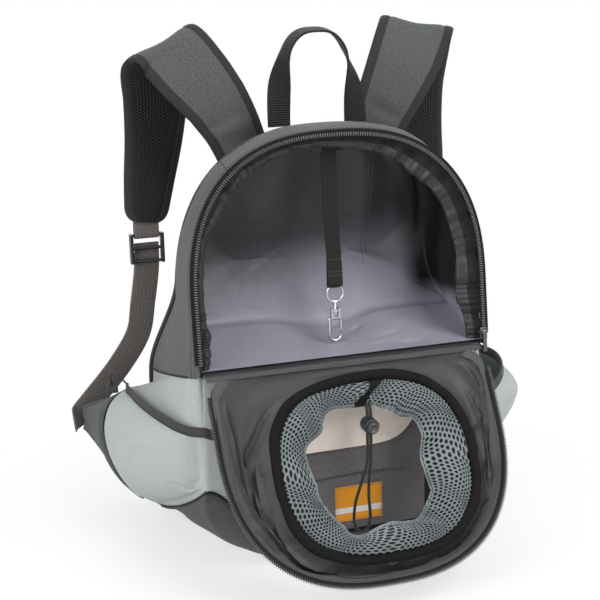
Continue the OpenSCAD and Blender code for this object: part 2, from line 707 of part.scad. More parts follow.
slider_t0 = 6;
plate_w = zip_w + 4;
post_w = 2.4;
bail_r = 0.9;
bail_up = 1.4;
module at_rim(t) {
    translate(rim_pt(rim_half_w, t, 0)) rotate([-rim_lean, 0, 0]) children();
}
plate_in = zip_t / 2 + slider_clear;
module zip_slider() {
    color("#b9bcc0") at_rim(slider_t0) {
        for (y = [-plate_in - plate_t, plate_in])
            translate([zip_gap / 2 + zip_w - plate_w, y, 0]) cube([plate_w, plate_t, slider_len]);
        translate([zip_gap / 2 + zip_w - plate_w, -plate_in, slider_len - 4]) cube([post_w, 2 * plate_in, 4]);
        for (x = [-3.6, 1.6])
            translate([x, -plate_in - plate_t - 2 * bail_up, slider_len - 5]) difference() {
                cube([1.4, 2 * bail_up, 3.6]);
                translate([-1, bail_up, 1.8]) rotate([0, 90, 0]) cylinder(r = bail_r + 0.06, h = 4);
            }
    }
}
pull_w = 3.6;
pull_t = 1.4;
module zip_pull() {
    color("#a9acb0") at_rim(slider_t0) translate([-0.3, -plate_in - plate_t - bail_up, slider_len - 3.2]) {
        rotate([0, 90, 0]) cylinder(r = bail_r, h = 6.4, center = true);
        translate([-pull_w / 2, -pull_t / 2 - 0.2, -pull_len]) cube([pull_w, pull_t, pull_len]);
    }
}

// Leash

leash_x = 6;
leash_y = -66;
leash_top = 394;
leash_anchor_d = 5;
anchor_gap = 0.5;
anchor_side = 2;
leash_t = 1.8;
// Height of the roof's inner face over the leash
roof_front = gusset(0.5, 0, wall_t)[1];
roof_back = gusset(0.5, 1, wall_t)[1];
roof_in = gusset(0.5, (leash_y - roof_front) / (roof_back - roof_front), wall_t)[2];
module leash_anchor() {
    w = leash_w + 2 * anchor_side;
    color("#2b2928") translate([leash_x - w / 2, leash_y - leash_anchor_d / 2, leash_top + anchor_gap])
        cube([w, leash_anchor_d, roof_in - leash_top - 3 * anchor_gap]);
}
module leash_webbing() {
    color("#3a3634") translate([leash_x - leash_w / 2, leash_y - leash_t / 2, leash_top - leash_len])
        cube([leash_w, leash_t, leash_len]);
}
ring_top = leash_top - leash_len;
ring_z = ring_top - ring_r - 2 * ring_wire - 0.1;
swivel_r = 3.2;
swivel_h = 5;
swivel_z = ring_z - ring_r - 2 * ring_wire - swivel_h - 0.3;
swivel_pin = 1.4;
module leash_ring() {
    color("#c8ccd0") {
        translate([leash_x, leash_y, ring_z]) rotate([90, 0, 0]) rotate_extrude()
            translate([ring_r + ring_wire, 0]) circle(r = ring_wire);
        translate([leash_x, leash_y, swivel_z - 4]) cylinder(r = swivel_pin, h = swivel_h + 6);
        translate([leash_x, leash_y, swivel_z - 5.5]) cylinder(r = swivel_pin + 1, h = 1.5);
    }
}
hook_half = 6;
hook_top = swivel_z - 8;
module snap_hook() {
    low = hook_top - hook_len + hook_half + hook_wire;
    color("#d0d3d6") translate([leash_x, leash_y, 0]) {
        difference() {
            translate([0, 0, swivel_z - 3.6]) cylinder(r = swivel_r, h = 3.2);
            translate([0, 0, swivel_z - 5]) cylinder(r = swivel_pin + 0.08, h = 8);
        }
        for (x = [-1, 1]) translate([x * 3.6 - 0.8, -swivel_r * 0.6, hook_top - 1])
            cube([1.6, 2 * swivel_r * 0.6, swivel_z - hook_top + 1.4]);
        translate([-4.4, -2, hook_top - 3]) cube([8.8, 4, 2.4]);
        translate([-hook_half, 0, low]) cylinder(r = hook_wire, h = hook_top - low - 1);
        translate([0, 0, low]) rotate([90, 0, 0]) rotate([0, 0, 180]) rotate_extrude(angle = 200)
            translate([hook_half, 0]) circle(r = hook_wire);
        translate([-hook_half, -2, hook_top - 3]) cube([4, 4, 2]);
    }
}
gate_gap = 0.5;
gate_r = 1.3;
module hook_gate() {
    low = hook_top - hook_len + hook_half + hook_wire;
    color("#b4b8bc") translate([leash_x + hook_half - 0.4, leash_y, low + 5])
        cylinder(r = gate_r, h = hook_top - 3 - gate_gap - low - 5);
}

// Handle and straps

handle_y = -top_back_front - 6;
handle_foot_z = top_z + 3.2;
handle_w = web_w - 3;
handle_bow = 4;
handle_turn = 84;
// Point of the handle at angle a of its arch
function handle_pt(a) = [
    handle_half * spow(cos(a), 0.7),
    handle_y + handle_bow * sin(a),
    handle_foot_z + handle_h * spow(sin(a), 0.8)];
// The webbing faces the front at its feet and turns face down over the top
module grab_handle() {
    n = 24;
    step = 0.5;
    color("#2e2c2b") sweep([for (i = [0 : n])
        let (a = 180 - 180 * i / n, t = unit(handle_pt(max(0, a - step)) - handle_pt(min(180, a + step))))
        let (turn = handle_turn * smooth(min(1, 1.25 * sin(a))), across = unit(cross(t, [0, 1, 0])))
        let (u = unit(across * cos(turn) + [0, 1, 0] * sin(turn)))
        strip_ring(handle_pt(a), u, unit(cross(t, u)), handle_w, handle_t)]);
}

// Strap: up from the roof's back edge, over a ridge and down behind the bag
strap_foot = [72, -10.4, 390];
strap_pts = [
    strap_foot, [76, -11.6, 414], [87, -8, 436], [107, 2, 470], [128, 20, 500],
    [138, 39, 480], [140, 47, 440], [142, 51, 400], [146, 53, 360], [150, 53, 318]];
strap_wide = [48, 52, 60, 70, strap_w, strap_w, strap_w, 68, 56, strap_end_w];
function strap_dir(i, n) = let (f = i / n)
    unit(f < 0.4 ? lerp([0.87, -0.1, -0.48], [0.92, -0.15, -0.34], f / 0.4)
        : lerp([0.92, -0.15, -0.34], [0.98, -0.1, 0.05], smooth(min(1, (f - 0.4) / 0.3))));
strap_k = 4;
strap_curve = curve(strap_pts, strap_k);
module strap(side) {
    n = len(strap_curve) - 1;
    wide = curve([for (w = strap_wide) [w, 0, 0]], strap_k);
    color("#525455") on_side(side) sweep([for (i = [0 : n])
        let (t = tangent(strap_curve, i), s = strap_dir(i, n), u = unit(s - t * (s * t)), m = cross(t, u))
        pad_ring(strap_curve[i], u, m, wide[i][0], strap_t * lerp(0.7, 1, min(1, 4 * i / n)))]);
}
module strap_left() { strap(-1); }
module strap_right() { strap(1); }

// Tab at the strap's end: two plies and a loop round the buckle's upper bar
strap_end = strap_pts[len(strap_pts) - 1];
buckle_drop = 12;
bar_r = 1.6;
bar_gap = 0.3;
buckle_w = web_w + 9;
buckle_h = 30;
tab_in = 14;
loop_r = bar_r + bar_gap;
module strap_tab(side) {
    color("#2e2c2b") on_side(side) translate(strap_end + [-web_w / 2, 0, -buckle_drop - bar_r]) {
        for (y = [-loop_r - web_t, loop_r]) translate([0, y, 0])
            cube([web_w, web_t, buckle_drop + bar_r + tab_in]);
        difference() {
            rotate([0, 90, 0]) cylinder(r = loop_r + web_t, h = web_w);
            translate([-1, 0, 0]) rotate([0, 90, 0]) cylinder(r = loop_r, h = web_w + 2);
            translate([-1, -2 * loop_r - web_t, 0])
                cube([web_w + 2, 4 * loop_r + 2 * web_t, 2 * loop_r + web_t]);
        }
    }
}
module strap_tab_left() { strap_tab(-1); }
module strap_tab_right() { strap_tab(1); }
// Ladder lock: two side rails and three bars
module buckle(side) {
    color("#1d1d1e") on_side(side) translate(strap_end + [0, 0, -buckle_drop - buckle_h]) {
        for (x = [-1, 1]) translate([x * (buckle_w / 2 - 1.5) - 1.5, -4, 0]) cube([3, 8, buckle_h]);
        for (z = [bar_r, 15, buckle_h - bar_r]) translate([0, 0, z]) rotate([0, 90, 0])
            cylinder(r = bar_r, h = buckle_w - 4, center = true);
    }
}
module buckle_left() { buckle(-1); }
module buckle_right() { buckle(1); }

// Webbing from the buckle to the wing tip
web_y = bar_r + 2 * bar_gap + web_t / 2;
web_pts = [strap_end + [0, web_y, -buckle_drop - 10], strap_end + [0, web_y, -buckle_drop - 26],
    strap_end + [1, web_y + 3, -buckle_drop - 44], [154, 68, 232], [158, 82, 196],
    [176, 96, 160], [203, 99, 128], [222, 95, 110]];
module strap_web(side) {
    p = curve(web_pts, 4);
    n = len(p) - 1;
    color("#3a3634") on_side(side) sweep([for (i = [0 : n])
        let (t = tangent(p, i), s = unit(lerp([1, 0, 0], [0.1, 0, 0.99], smooth(i / n))),
             u = unit(s - t * (s * t)))
        strip_ring(p[i], u, cross(t, u), web_w, web_t)]);
}
module strap_web_left() { strap_web(-1); }
module strap_web_right() { strap_web(1); }

cabin_wall_left();
cabin_roof();
cabin_wall_right();
cabin_floor();
back_panel();
back_stiffener();
lower_front_wall();
front_pocket();
pocket_label();
bottom_panel();
base_board();
side_panel_left();
side_panel_right();
side_pocket_left();
side_pocket_right();
pocket_binding_left();
pocket_binding_right();
wing_left();
wing_right();
side_tab();
body_zip();
leash_anchor();
flap_shell();
flap_zip();
window_binding();
window_mesh();
mesh_tape();
storm_flap();
drawstring();
cord_lock();
lock_button();
zip_slider();
zip_pull();
leash_webbing();
leash_ring();
snap_hook();
hook_gate();
grab_handle();
strap_left();
strap_right();
strap_tab_left();
strap_tab_right();
buckle_left();
buckle_right();
strap_web_left();
strap_web_right();
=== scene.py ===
"""Looks of the carrier backpack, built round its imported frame. Shapes are worked out in millimetres."""
import math

import bmesh
import bpy
import numpy as np
from mathutils import Matrix


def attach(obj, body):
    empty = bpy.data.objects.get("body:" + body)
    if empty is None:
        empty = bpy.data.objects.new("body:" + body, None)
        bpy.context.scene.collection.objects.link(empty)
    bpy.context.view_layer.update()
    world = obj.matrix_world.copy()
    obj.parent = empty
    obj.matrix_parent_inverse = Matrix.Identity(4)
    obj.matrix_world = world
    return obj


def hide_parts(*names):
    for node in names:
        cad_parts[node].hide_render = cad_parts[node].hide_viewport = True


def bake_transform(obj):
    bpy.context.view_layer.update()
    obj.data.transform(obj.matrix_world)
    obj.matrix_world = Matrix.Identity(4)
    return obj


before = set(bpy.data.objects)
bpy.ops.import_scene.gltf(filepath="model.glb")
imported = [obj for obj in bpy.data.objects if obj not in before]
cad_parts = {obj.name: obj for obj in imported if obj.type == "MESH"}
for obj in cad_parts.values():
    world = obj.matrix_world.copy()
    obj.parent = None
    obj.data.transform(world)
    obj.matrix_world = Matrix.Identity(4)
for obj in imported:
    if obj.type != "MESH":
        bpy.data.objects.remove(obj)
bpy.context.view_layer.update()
MM = 0.001

# Driving sizes, as the solids have them
RIM_HALF = 140
FLAP_LEN = 210
HINGE_Z = 203
HINGE_FRONT = 115
RIM_STRAIGHT = 64
RIM_LEAN = math.radians(7)
FLAP_OPEN = math.radians(32)
VALLEY = 15
CLOTH_BACK = 0.4
WINDOW_W = 99
WINDOW_H = 88
WINDOW_MID = 101
WINDOW_OFF = 8
WINDOW_BIND = 7
HOLE_W = 58
HOLE_H = 60
HOLE_SHARE = 0.4
MESH_PUFF = 12
HEM_BACK = 2
TOP_Z = 413
TOP_BACK = 36
BACK_SLOPE = 0.37
BACK_HALF = 127
BACK_T = 10
SEAM_BACK = (150, 50, 165)
BACK_ROUND_Z = 262
LOW_BACK_HALF = 126
BASE_W = 98
BASE_D = 78
BASE_MID_Y = 4
FRONT_WALL = 100
FRONT_CORNER_X = 137
CORNER_LOW_Z = 86
SIDE_LOW = (157, 24)
FRONT_LOW_Z = 24
STRAIGHT_SHARE = 0.16
ARCH_EXP = 2.5
WINDOW_EXP = 2.6
HINGE_EXP = 9
RIM_LIP = 4
GUSSET_START = 2.8
GUSSET_SWELL = 7
FLOOR_RISE = 10
FLOOR_FLAT_Y = -30
WING_SPAN = 216
WING_DROP = 0.12
WEB_W = 25
HANDLE_W, LEASH_W = 22, 15
STRAP_T = 12
LEASH_X, LEASH_Y, LEASH_TOP, LEASH_LEN = 6, -66, 394, 128


# Outline rules

def lerp(a, b, f):
    """The mix of a and b at share f."""
    return a + (b - a) * f


def smooth(f):
    """Ease in and out between 0 and 1."""
    f = np.clip(f, 0, 1)
    return f * f * (3 - 2 * f)


def spow(v, e):
    """Power of the size of v, with its sign kept."""
    return np.sign(v) * np.abs(v) ** e


def points(x, y, z):
    """Three arrays as one array of points."""
    return np.stack(np.broadcast_arrays(x, y, z), -1).astype(float)


def unit(v):
    """Vectors at length one."""
    return v / np.maximum(np.linalg.norm(v, axis=-1, keepdims=True), 1e-9)


def flap_pt(x, t, d):
    """Place on the opened flap: x across, t away from the hinge, d behind its plane."""
    return points(x, -HINGE_FRONT - t * math.sin(FLAP_OPEN) + d * math.cos(FLAP_OPEN),
                  HINGE_Z - t * math.cos(FLAP_OPEN) - d * math.sin(FLAP_OPEN))


def rim_pt(x, t, d):
    """Place on the opening: x across, t up from the hinge, d into the cabin."""
    return points(x, -HINGE_FRONT + t * math.sin(RIM_LEAN) + d * math.cos(RIM_LEAN),
                  HINGE_Z + t * math.cos(RIM_LEAN) - d * math.sin(RIM_LEAN))


def arch_angle(s):
    """Angle of the round part of an arch for s from 0 to 1."""
    return math.pi * (1 - np.clip((s - STRAIGHT_SHARE) / (1 - 2 * STRAIGHT_SHARE), 0, 1))


def arch(s, g):
    """Outline of the opening: straight sides, then a superellipse over the top, grown by g."""
    a = arch_angle(s)
    low = np.minimum(s, 1 - s)
    t = np.where(low < STRAIGHT_SHARE, RIM_STRAIGHT * low / STRAIGHT_SHARE,
                 RIM_STRAIGHT + (FLAP_LEN - RIM_STRAIGHT + g) * np.abs(np.sin(a)) ** (2 / ARCH_EXP))
    return (RIM_HALF + g) * spow(np.cos(a), 2 / ARCH_EXP), t


def back_y(z):
    """Leaning plane of the back panel."""
    return -TOP_BACK + BACK_SLOPE * (TOP_Z - z)


def back_arch(s):
    """Outline of the gusset's back edge: sides that draw in, then a superellipse."""
    a = arch_angle(s)
    f = np.minimum(s, 1 - s) / STRAIGHT_SHARE
    low = f < 1
    side = np.where(s < 0.5, -1, 1)
    x = np.where(low, side * lerp(SEAM_BACK[0], BACK_HALF, smooth(f)),
                 BACK_HALF * spow(np.cos(a), 2 / ARCH_EXP))
    z = np.where(low, lerp(SEAM_BACK[2], BACK_ROUND_Z, f),
                 BACK_ROUND_Z + (TOP_Z - BACK_ROUND_Z) * np.abs(np.sin(a)) ** (2 / ARCH_EXP))
    return x, z


def gusset(s, v, inset):
    """Point of the cabin wall: s along the arch, v from the opening to the back, swelling in between."""
    rx, rt = arch(s, RIM_LIP - inset)
    front = rim_pt(rx, rt, GUSSET_START)
    bx, bz = back_arch(s)
    drop = np.where(np.minimum(s, 1 - s) > STRAIGHT_SHARE, inset * np.abs(np.sin(arch_angle(s))) ** 0.5, 0)
    back = points(bx * (1 - inset / BACK_HALF), back_y(bz), bz - drop)
    out = unit(points(rx, 0, np.maximum(0, rt - RIM_STRAIGHT) + 0.01))
    v = np.asarray(v)[..., None]
    return lerp(front, back, v) + GUSSET_SWELL * 4 * v * (1 - v) * out


def flap_rim(a, g):
    """Closed outline of the flap at angle a, drawn in by g: an arch below, a squared edge at the hinge."""
    low = np.sin(a) < 0
    x = (RIM_HALF - g) * spow(np.cos(a), np.where(low, 2 / HINGE_EXP, 2 / ARCH_EXP))
    t = np.where(low, RIM_STRAIGHT + (RIM_STRAIGHT - 0.4) * spow(np.sin(a), 2 / HINGE_EXP),
                 RIM_STRAIGHT + (FLAP_LEN - RIM_STRAIGHT - g) * spow(np.sin(a), 2 / ARCH_EXP))
    return x, t


def oval(a, w, h, share=1.0):
    """Superellipse round the window at angle a."""
    return (WINDOW_OFF * share + w * spow(np.cos(a), 2 / WINDOW_EXP),
            WINDOW_MID + h * spow(np.sin(a), 2 / WINDOW_EXP))


def valley(f, t):
    """Depth of the flap's cloth between its rim and the window, shallow near the hinge."""
    return VALLEY * np.sin(math.pi * f) * np.clip(t / 100, 0, 1) ** 0.8


def cloth_pt(a, f, k):
    """Point of the flap's cloth: f from the rim to the window, k behind its face."""
    r, w = flap_rim(a, 4.1), oval(a, WINDOW_W, WINDOW_H)
    x, t = lerp(r[0], w[0], f), lerp(r[1], w[1], f)
    return flap_pt(x, t, CLOTH_BACK + k + valley(f, t))


def mesh_pt(a, f, k):
    """Point of the window's mesh: f from the binding to the hole, k behind its face, puffed to the front."""
    w = oval(a, WINDOW_W - WINDOW_BIND, WINDOW_H - WINDOW_BIND)
    h = oval(a, HOLE_W, HOLE_H, HOLE_SHARE)
    return flap_pt(lerp(w[0], h[0], f), lerp(w[1], h[1], f),
                   CLOTH_BACK + k + HEM_BACK * f - MESH_PUFF * np.sin(math.pi * f))


def back_half(z):
    """Half width of the back panel at height z."""
    low = lerp(LOW_BACK_HALF, SEAM_BACK[0], smooth(z / SEAM_BACK[2]))
    mid = lerp(SEAM_BACK[0], BACK_HALF, smooth((z - SEAM_BACK[2]) / (BACK_ROUND_Z - SEAM_BACK[2])))
    f = np.clip((z - BACK_ROUND_Z) / (TOP_Z - BACK_ROUND_Z), 0, 1)
    top = BACK_HALF * np.maximum(0, 1 - f ** ARCH_EXP) ** (1 / ARCH_EXP)
    return np.where(z < SEAM_BACK[2], low, np.where(z < BACK_ROUND_Z, mid, top))


def floor_top(y):
    """Height of the cabin floor: flat at the front, rising to the back."""
    far = back_y(HINGE_Z + FLOOR_RISE + 1.5) - 2.5
    return HINGE_Z + 1.5 + FLOOR_RISE * smooth((y - FLOOR_FLAT_Y) / (far - FLOOR_FLAT_Y))


def low_seam(p):
    """Seam under the side panel, p from the front corner to the back."""
    return points(lerp(FRONT_CORNER_X, SIDE_LOW[0], p), lerp(-FRONT_WALL, SEAM_BACK[1], p),
                  SIDE_LOW[1] + (CORNER_LOW_Z - SIDE_LOW[1]) * (1 - p) ** 1.6)


def high_seam(p):
    """Seam over the side panel, along the gusset's lower edge."""
    run = (SEAM_BACK[1] + HINGE_FRONT) / (back_y(SEAM_BACK[2]) + HINGE_FRONT)
    g = gusset(np.ones_like(p), p * run, 0) - np.array([0, 0, 0.1])
    corner = np.array([FRONT_CORNER_X, -FRONT_WALL, HINGE_Z - 3.0])
    return lerp(corner, g, np.minimum(1, p * 6)[..., None])


def side_pt(p, q, grow):
    """Side panel: p front to back, q top to bottom; it swells and its back runs out to the wing."""
    p, q = np.broadcast_arrays(np.asarray(p, float), np.asarray(q, float))
    m = lerp(high_seam(p), low_seam(p), q[..., None])
    out = 14 * np.sin(math.pi * p) + 51 * p ** 2.4
    flat = WING_DROP * p * p
    k = np.maximum(0, (q - flat) / (1 - flat))
    swell = out * np.abs(np.sin(math.pi * k ** lerp(1.4, 0.6, p))) ** lerp(1.1, 0.5, p)
    return m + points(swell + grow, 0, 0)


POCKET_SWELL = {-1: 22, 1: 49}
MOUTH_SHARE = {-1: 0.35, 1: 0.6}
POCKET_SEAT = 1.0


def pocket_pt(side, f, g, grow):
    """Side pocket: f front to back, g from the mouth down; fullest a third of the way down."""
    p = lerp(0.06, 0.96, f)
    q = lerp(lerp(0.13, 0.5, np.clip(1 - f, 0, 1) ** 1.8), 0.94, g)
    full = POCKET_SWELL[side] * np.sin(math.pi * np.clip(f, 0, 1)) ** 0.7
    full = full * lerp(MOUTH_SHARE[side], 1, np.sin(np.minimum(math.pi / 2, 1.5 * math.pi * g)))
    return side_pt(p, q, POCKET_SEAT + grow + full * np.abs(np.cos(math.pi / 2 * g)) ** 0.6)


def front_edge_z(f):
    """Height of the bottom panel's edge along the front, f from the middle to the corner."""
    return lerp(FRONT_LOW_Z, CORNER_LOW_Z, smooth(np.maximum(0, f * 2 - 1)))


def tub_edge(w):
    """Upper edge of the bottom panel, w from the back middle round the front to the back middle."""
    m = np.abs(w)
    front = points(m / 0.34 * FRONT_CORNER_X, -FRONT_WALL, front_edge_z(np.minimum(1, m / 0.34)))
    side = low_seam(np.clip((m - 0.34) / 0.46, 0, 1))
    heel = np.array([LOW_BACK_HALF, back_y(SIDE_LOW[1]) + BACK_T / 2, SIDE_LOW[1]])
    corner = lerp(low_seam(np.ones_like(m)), heel, np.clip((m - 0.8) / 0.1, 0, 1)[..., None])
    back = heel * points(np.clip((1 - m) / 0.1, 0, 1), 1, 1)
    m = m[..., None]
    e = np.where(m < 0.34, front, np.where(m < 0.8, side, np.where(m < 0.9, corner, back)))
    return e * points(np.sign(w), 1, 1) - np.array([0, 0, 1.2])


def tub_pt(w, q):
    """Bottom panel: q from the flat base up to its edge, swelling outwards."""
    a = -math.pi / 2 + math.pi * w
    base = points(BASE_W * spow(np.cos(a), 2 / 3.4), BASE_MID_Y + BASE_D * spow(np.sin(a), 2 / 3.4), 0)
    away = unit((base - np.array([0, BASE_MID_Y, 0])) / np.array([BASE_W, BASE_D, 1]))
    return lerp(base, tub_edge(w), q[..., None]) + away * (16 * np.abs(np.sin(math.pi * q)) ** 0.6)[..., None]


def curve(p, k):
    """Smooth curve through given points, k steps to a span, as a Catmull-Rom spline."""
    p = np.asarray(p, float)
    ends = np.concatenate([p[:1], p, p[-1:]])
    f = (np.arange(k) / k)[None, :, None]
    a, b, c, d = (ends[i:len(ends) - 3 + i, None] for i in range(4))
    run = b + ((c - a) * f + (2 * a - 5 * b + 4 * c - d) * f ** 2 + (3 * b - a - 3 * c + d) * f ** 3) / 2
    return np.concatenate([run.reshape(-1, p.shape[1]), p[-1:]])


def even(path, step):
    """Points along a path at an even step."""
    run = np.concatenate([[0], np.cumsum(np.linalg.norm(np.diff(path, axis=0), axis=1))])
    at = np.linspace(0, run[-1], max(2, int(round(run[-1] / step)) + 1))
    return np.stack([np.interp(at, run, path[:, k]) for k in range(path.shape[1])], -1)


def tangents(path, closed=False):
    """Direction along a path."""
    if closed:
        return unit(np.roll(path, -1, 0) - np.roll(path, 1, 0))
    return unit(np.gradient(path, axis=0))


def crumple(u, v, seed, waves, low, high):
    """Soft irregular folds from -1 to 1: a sum of waves with seeded directions and phases."""
    draw = np.random.default_rng(seed)
    total = 0
    for size in np.geomspace(low, high, waves):
        turn, phase = draw.uniform(0, 2 * math.pi, 2)
        bend = 0.8 * np.sin((u * math.sin(turn) - v * math.cos(turn)) * size * 0.7 + phase * 2)
        total = total + np.sin((u * math.cos(turn) + v * math.sin(turn)) * size + phase + bend) / size
    return total / np.sum(1 / np.geomspace(low, high, waves)) * 1.6


# Mesh building

def normals(grid, wrap_u=False, wrap_v=False):
    """Normals of a grid of points, from the cross product of its two directions."""
    def along(axis, wrap):
        """Steps of the grid along one axis."""
        if wrap:
            return np.roll(grid, -1, axis) - np.roll(grid, 1, axis)
        return np.gradient(grid, axis=axis)
    return unit(np.cross(along(0, wrap_u), along(1, wrap_v)))


class Shape:
    """Collects vertices in millimetres, faces and flat coordinates in metres for one piece."""

    def __init__(self):
        self.verts, self.faces, self.flat, self.tags = [], [], [], []
        self.count = 0

    def take(self, verts, faces, flat, tag):
        """Adds points, their faces and flat corners."""
        self.verts.append(np.asarray(verts, float).reshape(-1, 3))
        self.faces.append(np.asarray(faces) + self.count)
        self.flat.append(np.asarray(flat, float).reshape(-1, 2))
        self.tags.append(np.broadcast_to(np.asarray(tag), len(faces)))
        self.count += len(self.verts[-1])

    def grid(self, p, wrap_u=False, wrap_v=False, tag=0, flip=False):
        """A sheet of quads over a grid; flat coordinates are mean arc lengths along its two ways."""
        nu, nv = p.shape[:2]
        i, j = np.indices((nu if wrap_u else nu - 1, nv if wrap_v else nv - 1)).reshape(2, -1)
        corners = [(i, j), (i + 1, j), (i + 1, j + 1), (i, j + 1)]
        if flip:
            corners.reverse()
        faces = np.stack([(a % nu) * nv + b % nv for a, b in corners], 1)
        far_u, far_v = np.roll(p, -1, 0), np.roll(p, -1, 1)
        du = np.linalg.norm(far_u - p, axis=2).mean(1)
        dv = np.linalg.norm(far_v - p, axis=2).mean(0)
        u = np.concatenate([[0], np.cumsum(du)]) * MM
        v = np.concatenate([[0], np.cumsum(dv)]) * MM
        flat = np.stack([np.stack([u[a], v[b]], -1) for a, b in corners], 1)
        self.take(p, faces, flat, tag if np.isscalar(tag) else np.asarray(tag)[i, j])
        return self

    def slab(self, p, thick, wrap_u=False, wrap_v=False, tag=0, back_tag=None):
        """A closed cloth: the grid, a copy set back by its thickness along the normals, and rims."""
        back = p - normals(p, wrap_u, wrap_v) * np.asarray(thick)[..., None]
        self.grid(p, wrap_u, wrap_v, tag)
        self.grid(back, wrap_u, wrap_v, tag if back_tag is None else back_tag, flip=True)
        edges = []
        if not wrap_u:
            edges += [(back[0], p[0], wrap_v), (p[-1], back[-1], wrap_v)]
        if not wrap_v:
            edges += [(p[:, 0], back[:, 0], wrap_u), (back[:, -1], p[:, -1], wrap_u)]
        for a, b, wrap in edges:
            self.grid(np.stack([a, b]), wrap_v=wrap, tag=0 if not np.isscalar(tag) else tag)
        return self

    def loft(self, rings, closed=False, tag=0):
        """A tube through rings of points, with a fan over each end."""
        self.grid(rings, wrap_u=closed, wrap_v=True, tag=tag)
        if not closed:
            n = rings.shape[1]
            k = np.arange(n)
            for ring, turn in ((rings[0], 1), (rings[-1], -1)):
                verts = np.concatenate([ring, ring.mean(0, keepdims=True)])
                tri = np.stack([np.full(n, n), (k + 1) % n, k][::turn], 1)
                self.take(verts, tri, np.zeros((n * 3, 2)), 0 if not np.isscalar(tag) else tag)
        return self

    def copies(self, verts, faces, frames, at):
        """One small form set down at many places; frames are the three directions at each place."""
        placed = np.einsum("vk,nkc->nvc", verts, frames) + at[:, None]
        shift = np.arange(len(at))[:, None, None] * len(verts)
        cells = (np.asarray(faces)[None] + shift).reshape(-1, len(faces[0]))
        self.take(placed, cells, np.zeros((cells.size, 2)), 0)
        return self

    def piece(self, name, body, finish, slot, stands_for=(), sharp=40, turn=False):
        """Makes the object, welds its seams, turns its faces outwards and lets it ride on its body."""
        name = name + "_form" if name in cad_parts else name
        mesh = bpy.data.meshes.new(name)
        verts = np.concatenate(self.verts) * MM
        mesh.from_pydata(verts.tolist(), [], [f for part in self.faces for f in part.tolist()])
        layer = mesh.uv_layers.new(name="UVMap")
        layer.data.foreach_set("uv", np.concatenate(self.flat).ravel())
        mesh.polygons.foreach_set("material_index", np.concatenate(self.tags).astype(np.int32))
        mesh.polygons.foreach_set("use_smooth", np.ones(len(mesh.polygons), bool))
        for f in finish if isinstance(finish, (list, tuple)) else [finish]:
            mesh.materials.append(f.material)
        weld(mesh, turn)
        mesh.set_sharp_from_angle(angle=math.radians(sharp))
        obj = bpy.data.objects.new(name, mesh)
        bpy.context.scene.collection.objects.link(obj)
        if stands_for:
            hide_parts(*([stands_for] if isinstance(stands_for, str) else stands_for))
        if body:
            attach(obj, body)
        return obj


def weld(mesh, turn):
    """Joins the points that lie on each other and, where turn is set, turns all faces outwards."""
    work = bmesh.new()
    work.from_mesh(mesh)
    bmesh.ops.remove_doubles(work, verts=work.verts, dist=2e-6)
    if turn:
        bmesh.ops.recalc_face_normals(work, faces=work.faces)
    work.to_mesh(mesh)
    work.free()
    mesh.update()


def rings_along(path, across, profile, closed=False):
    """Profile carried along a path: its first coordinate runs across, its second square to it."""
    t = tangents(path, closed)
    u = unit(across - t * np.sum(across * t, -1, keepdims=True))
    n = np.cross(t, u)
    profile = np.broadcast_to(profile, (len(path),) + np.shape(profile)[-2:])
    return path[:, None] + u[:, None] * profile[..., :1] + n[:, None] * profile[..., 1:]


def round_profile(w, h, sides, e=1.0):
    """Rounded section of width w and height h: a superellipse whose exponent e below 1 squares it."""
    a = np.linspace(0, 2 * math.pi, sides, endpoint=False) + math.pi / sides
    return np.stack([w / 2 * spow(np.cos(a), e), h / 2 * spow(np.sin(a), e)], -1)


def tube(path, radius, sides=10, closed=False, across=(0.31, 0.47, 0.83)):
    """Round cord along a path."""
    across = np.broadcast_to(np.asarray(across, float), path.shape)
    return rings_along(path, across, round_profile(2 * radius, 2 * radius, sides), closed)


def webbing(path, across, width, thick, rib=2.2, depth=0.22):
    """Ribbed tape along a path: rounded edges, and a wave of cross ribs with a smooth selvedge."""
    path_full = even(np.concatenate([path, across], -1), rib / 4)
    path, across = path_full[:, :3], path_full[:, 3:]
    run = np.arange(len(path)) * 0.5 * math.pi
    base = round_profile(width, thick, 20, 0.35)
    mid = np.clip(1.15 - (np.abs(base[:, 0]) / (width / 2)) ** 6, 0, 1)
    wave = 1 + depth * np.sin(run)[:, None] * mid
    profile = np.stack([np.broadcast_to(base[:, 0], wave.shape), base[:, 1] * wave], -1)
    return rings_along(path, across, profile)


STITCH_RING = np.array([[0.0, 1.0], [0.9, 0.5], [0.9, -0.5], [0.0, -1.0], [-0.9, -0.5], [-0.9, 0.5]])


def stitches(shape, path, up, pitch=3.4, length=2.5, radius=0.34):
    """A row of thread stitches: short six-sided spindles along a path, raised along up."""
    full = even(np.concatenate([path, np.broadcast_to(up, path.shape)], -1), pitch)
    path, up = full[:, :3], unit(full[:, 3:])
    t = tangents(path)
    side = unit(np.cross(t, up))
    rows = [(-0.5, 0.45, -0.5), (-0.3, 1.0, 0.0), (0.3, 1.0, 0.0), (0.5, 0.45, -0.5)]
    x, y = STITCH_RING.T * radius
    verts = np.concatenate([np.column_stack([np.full(6, a * length), x * r, y * r + sink * radius])
                            for a, r, sink in rows])
    faces = [[r * 6 + i, (r + 1) * 6 + i, (r + 1) * 6 + (i + 1) % 6, r * 6 + (i + 1) % 6]
             for r in range(3) for i in range(6)]
    faces += [[5, 4, 1, 0], [4, 3, 2, 1], [18, 19, 22, 23], [19, 20, 21, 22]]
    shape.copies(verts, faces, np.stack([t, side, np.cross(side, t) * -1], 1), path + up * radius * 0.4)
    return shape


# Finishes

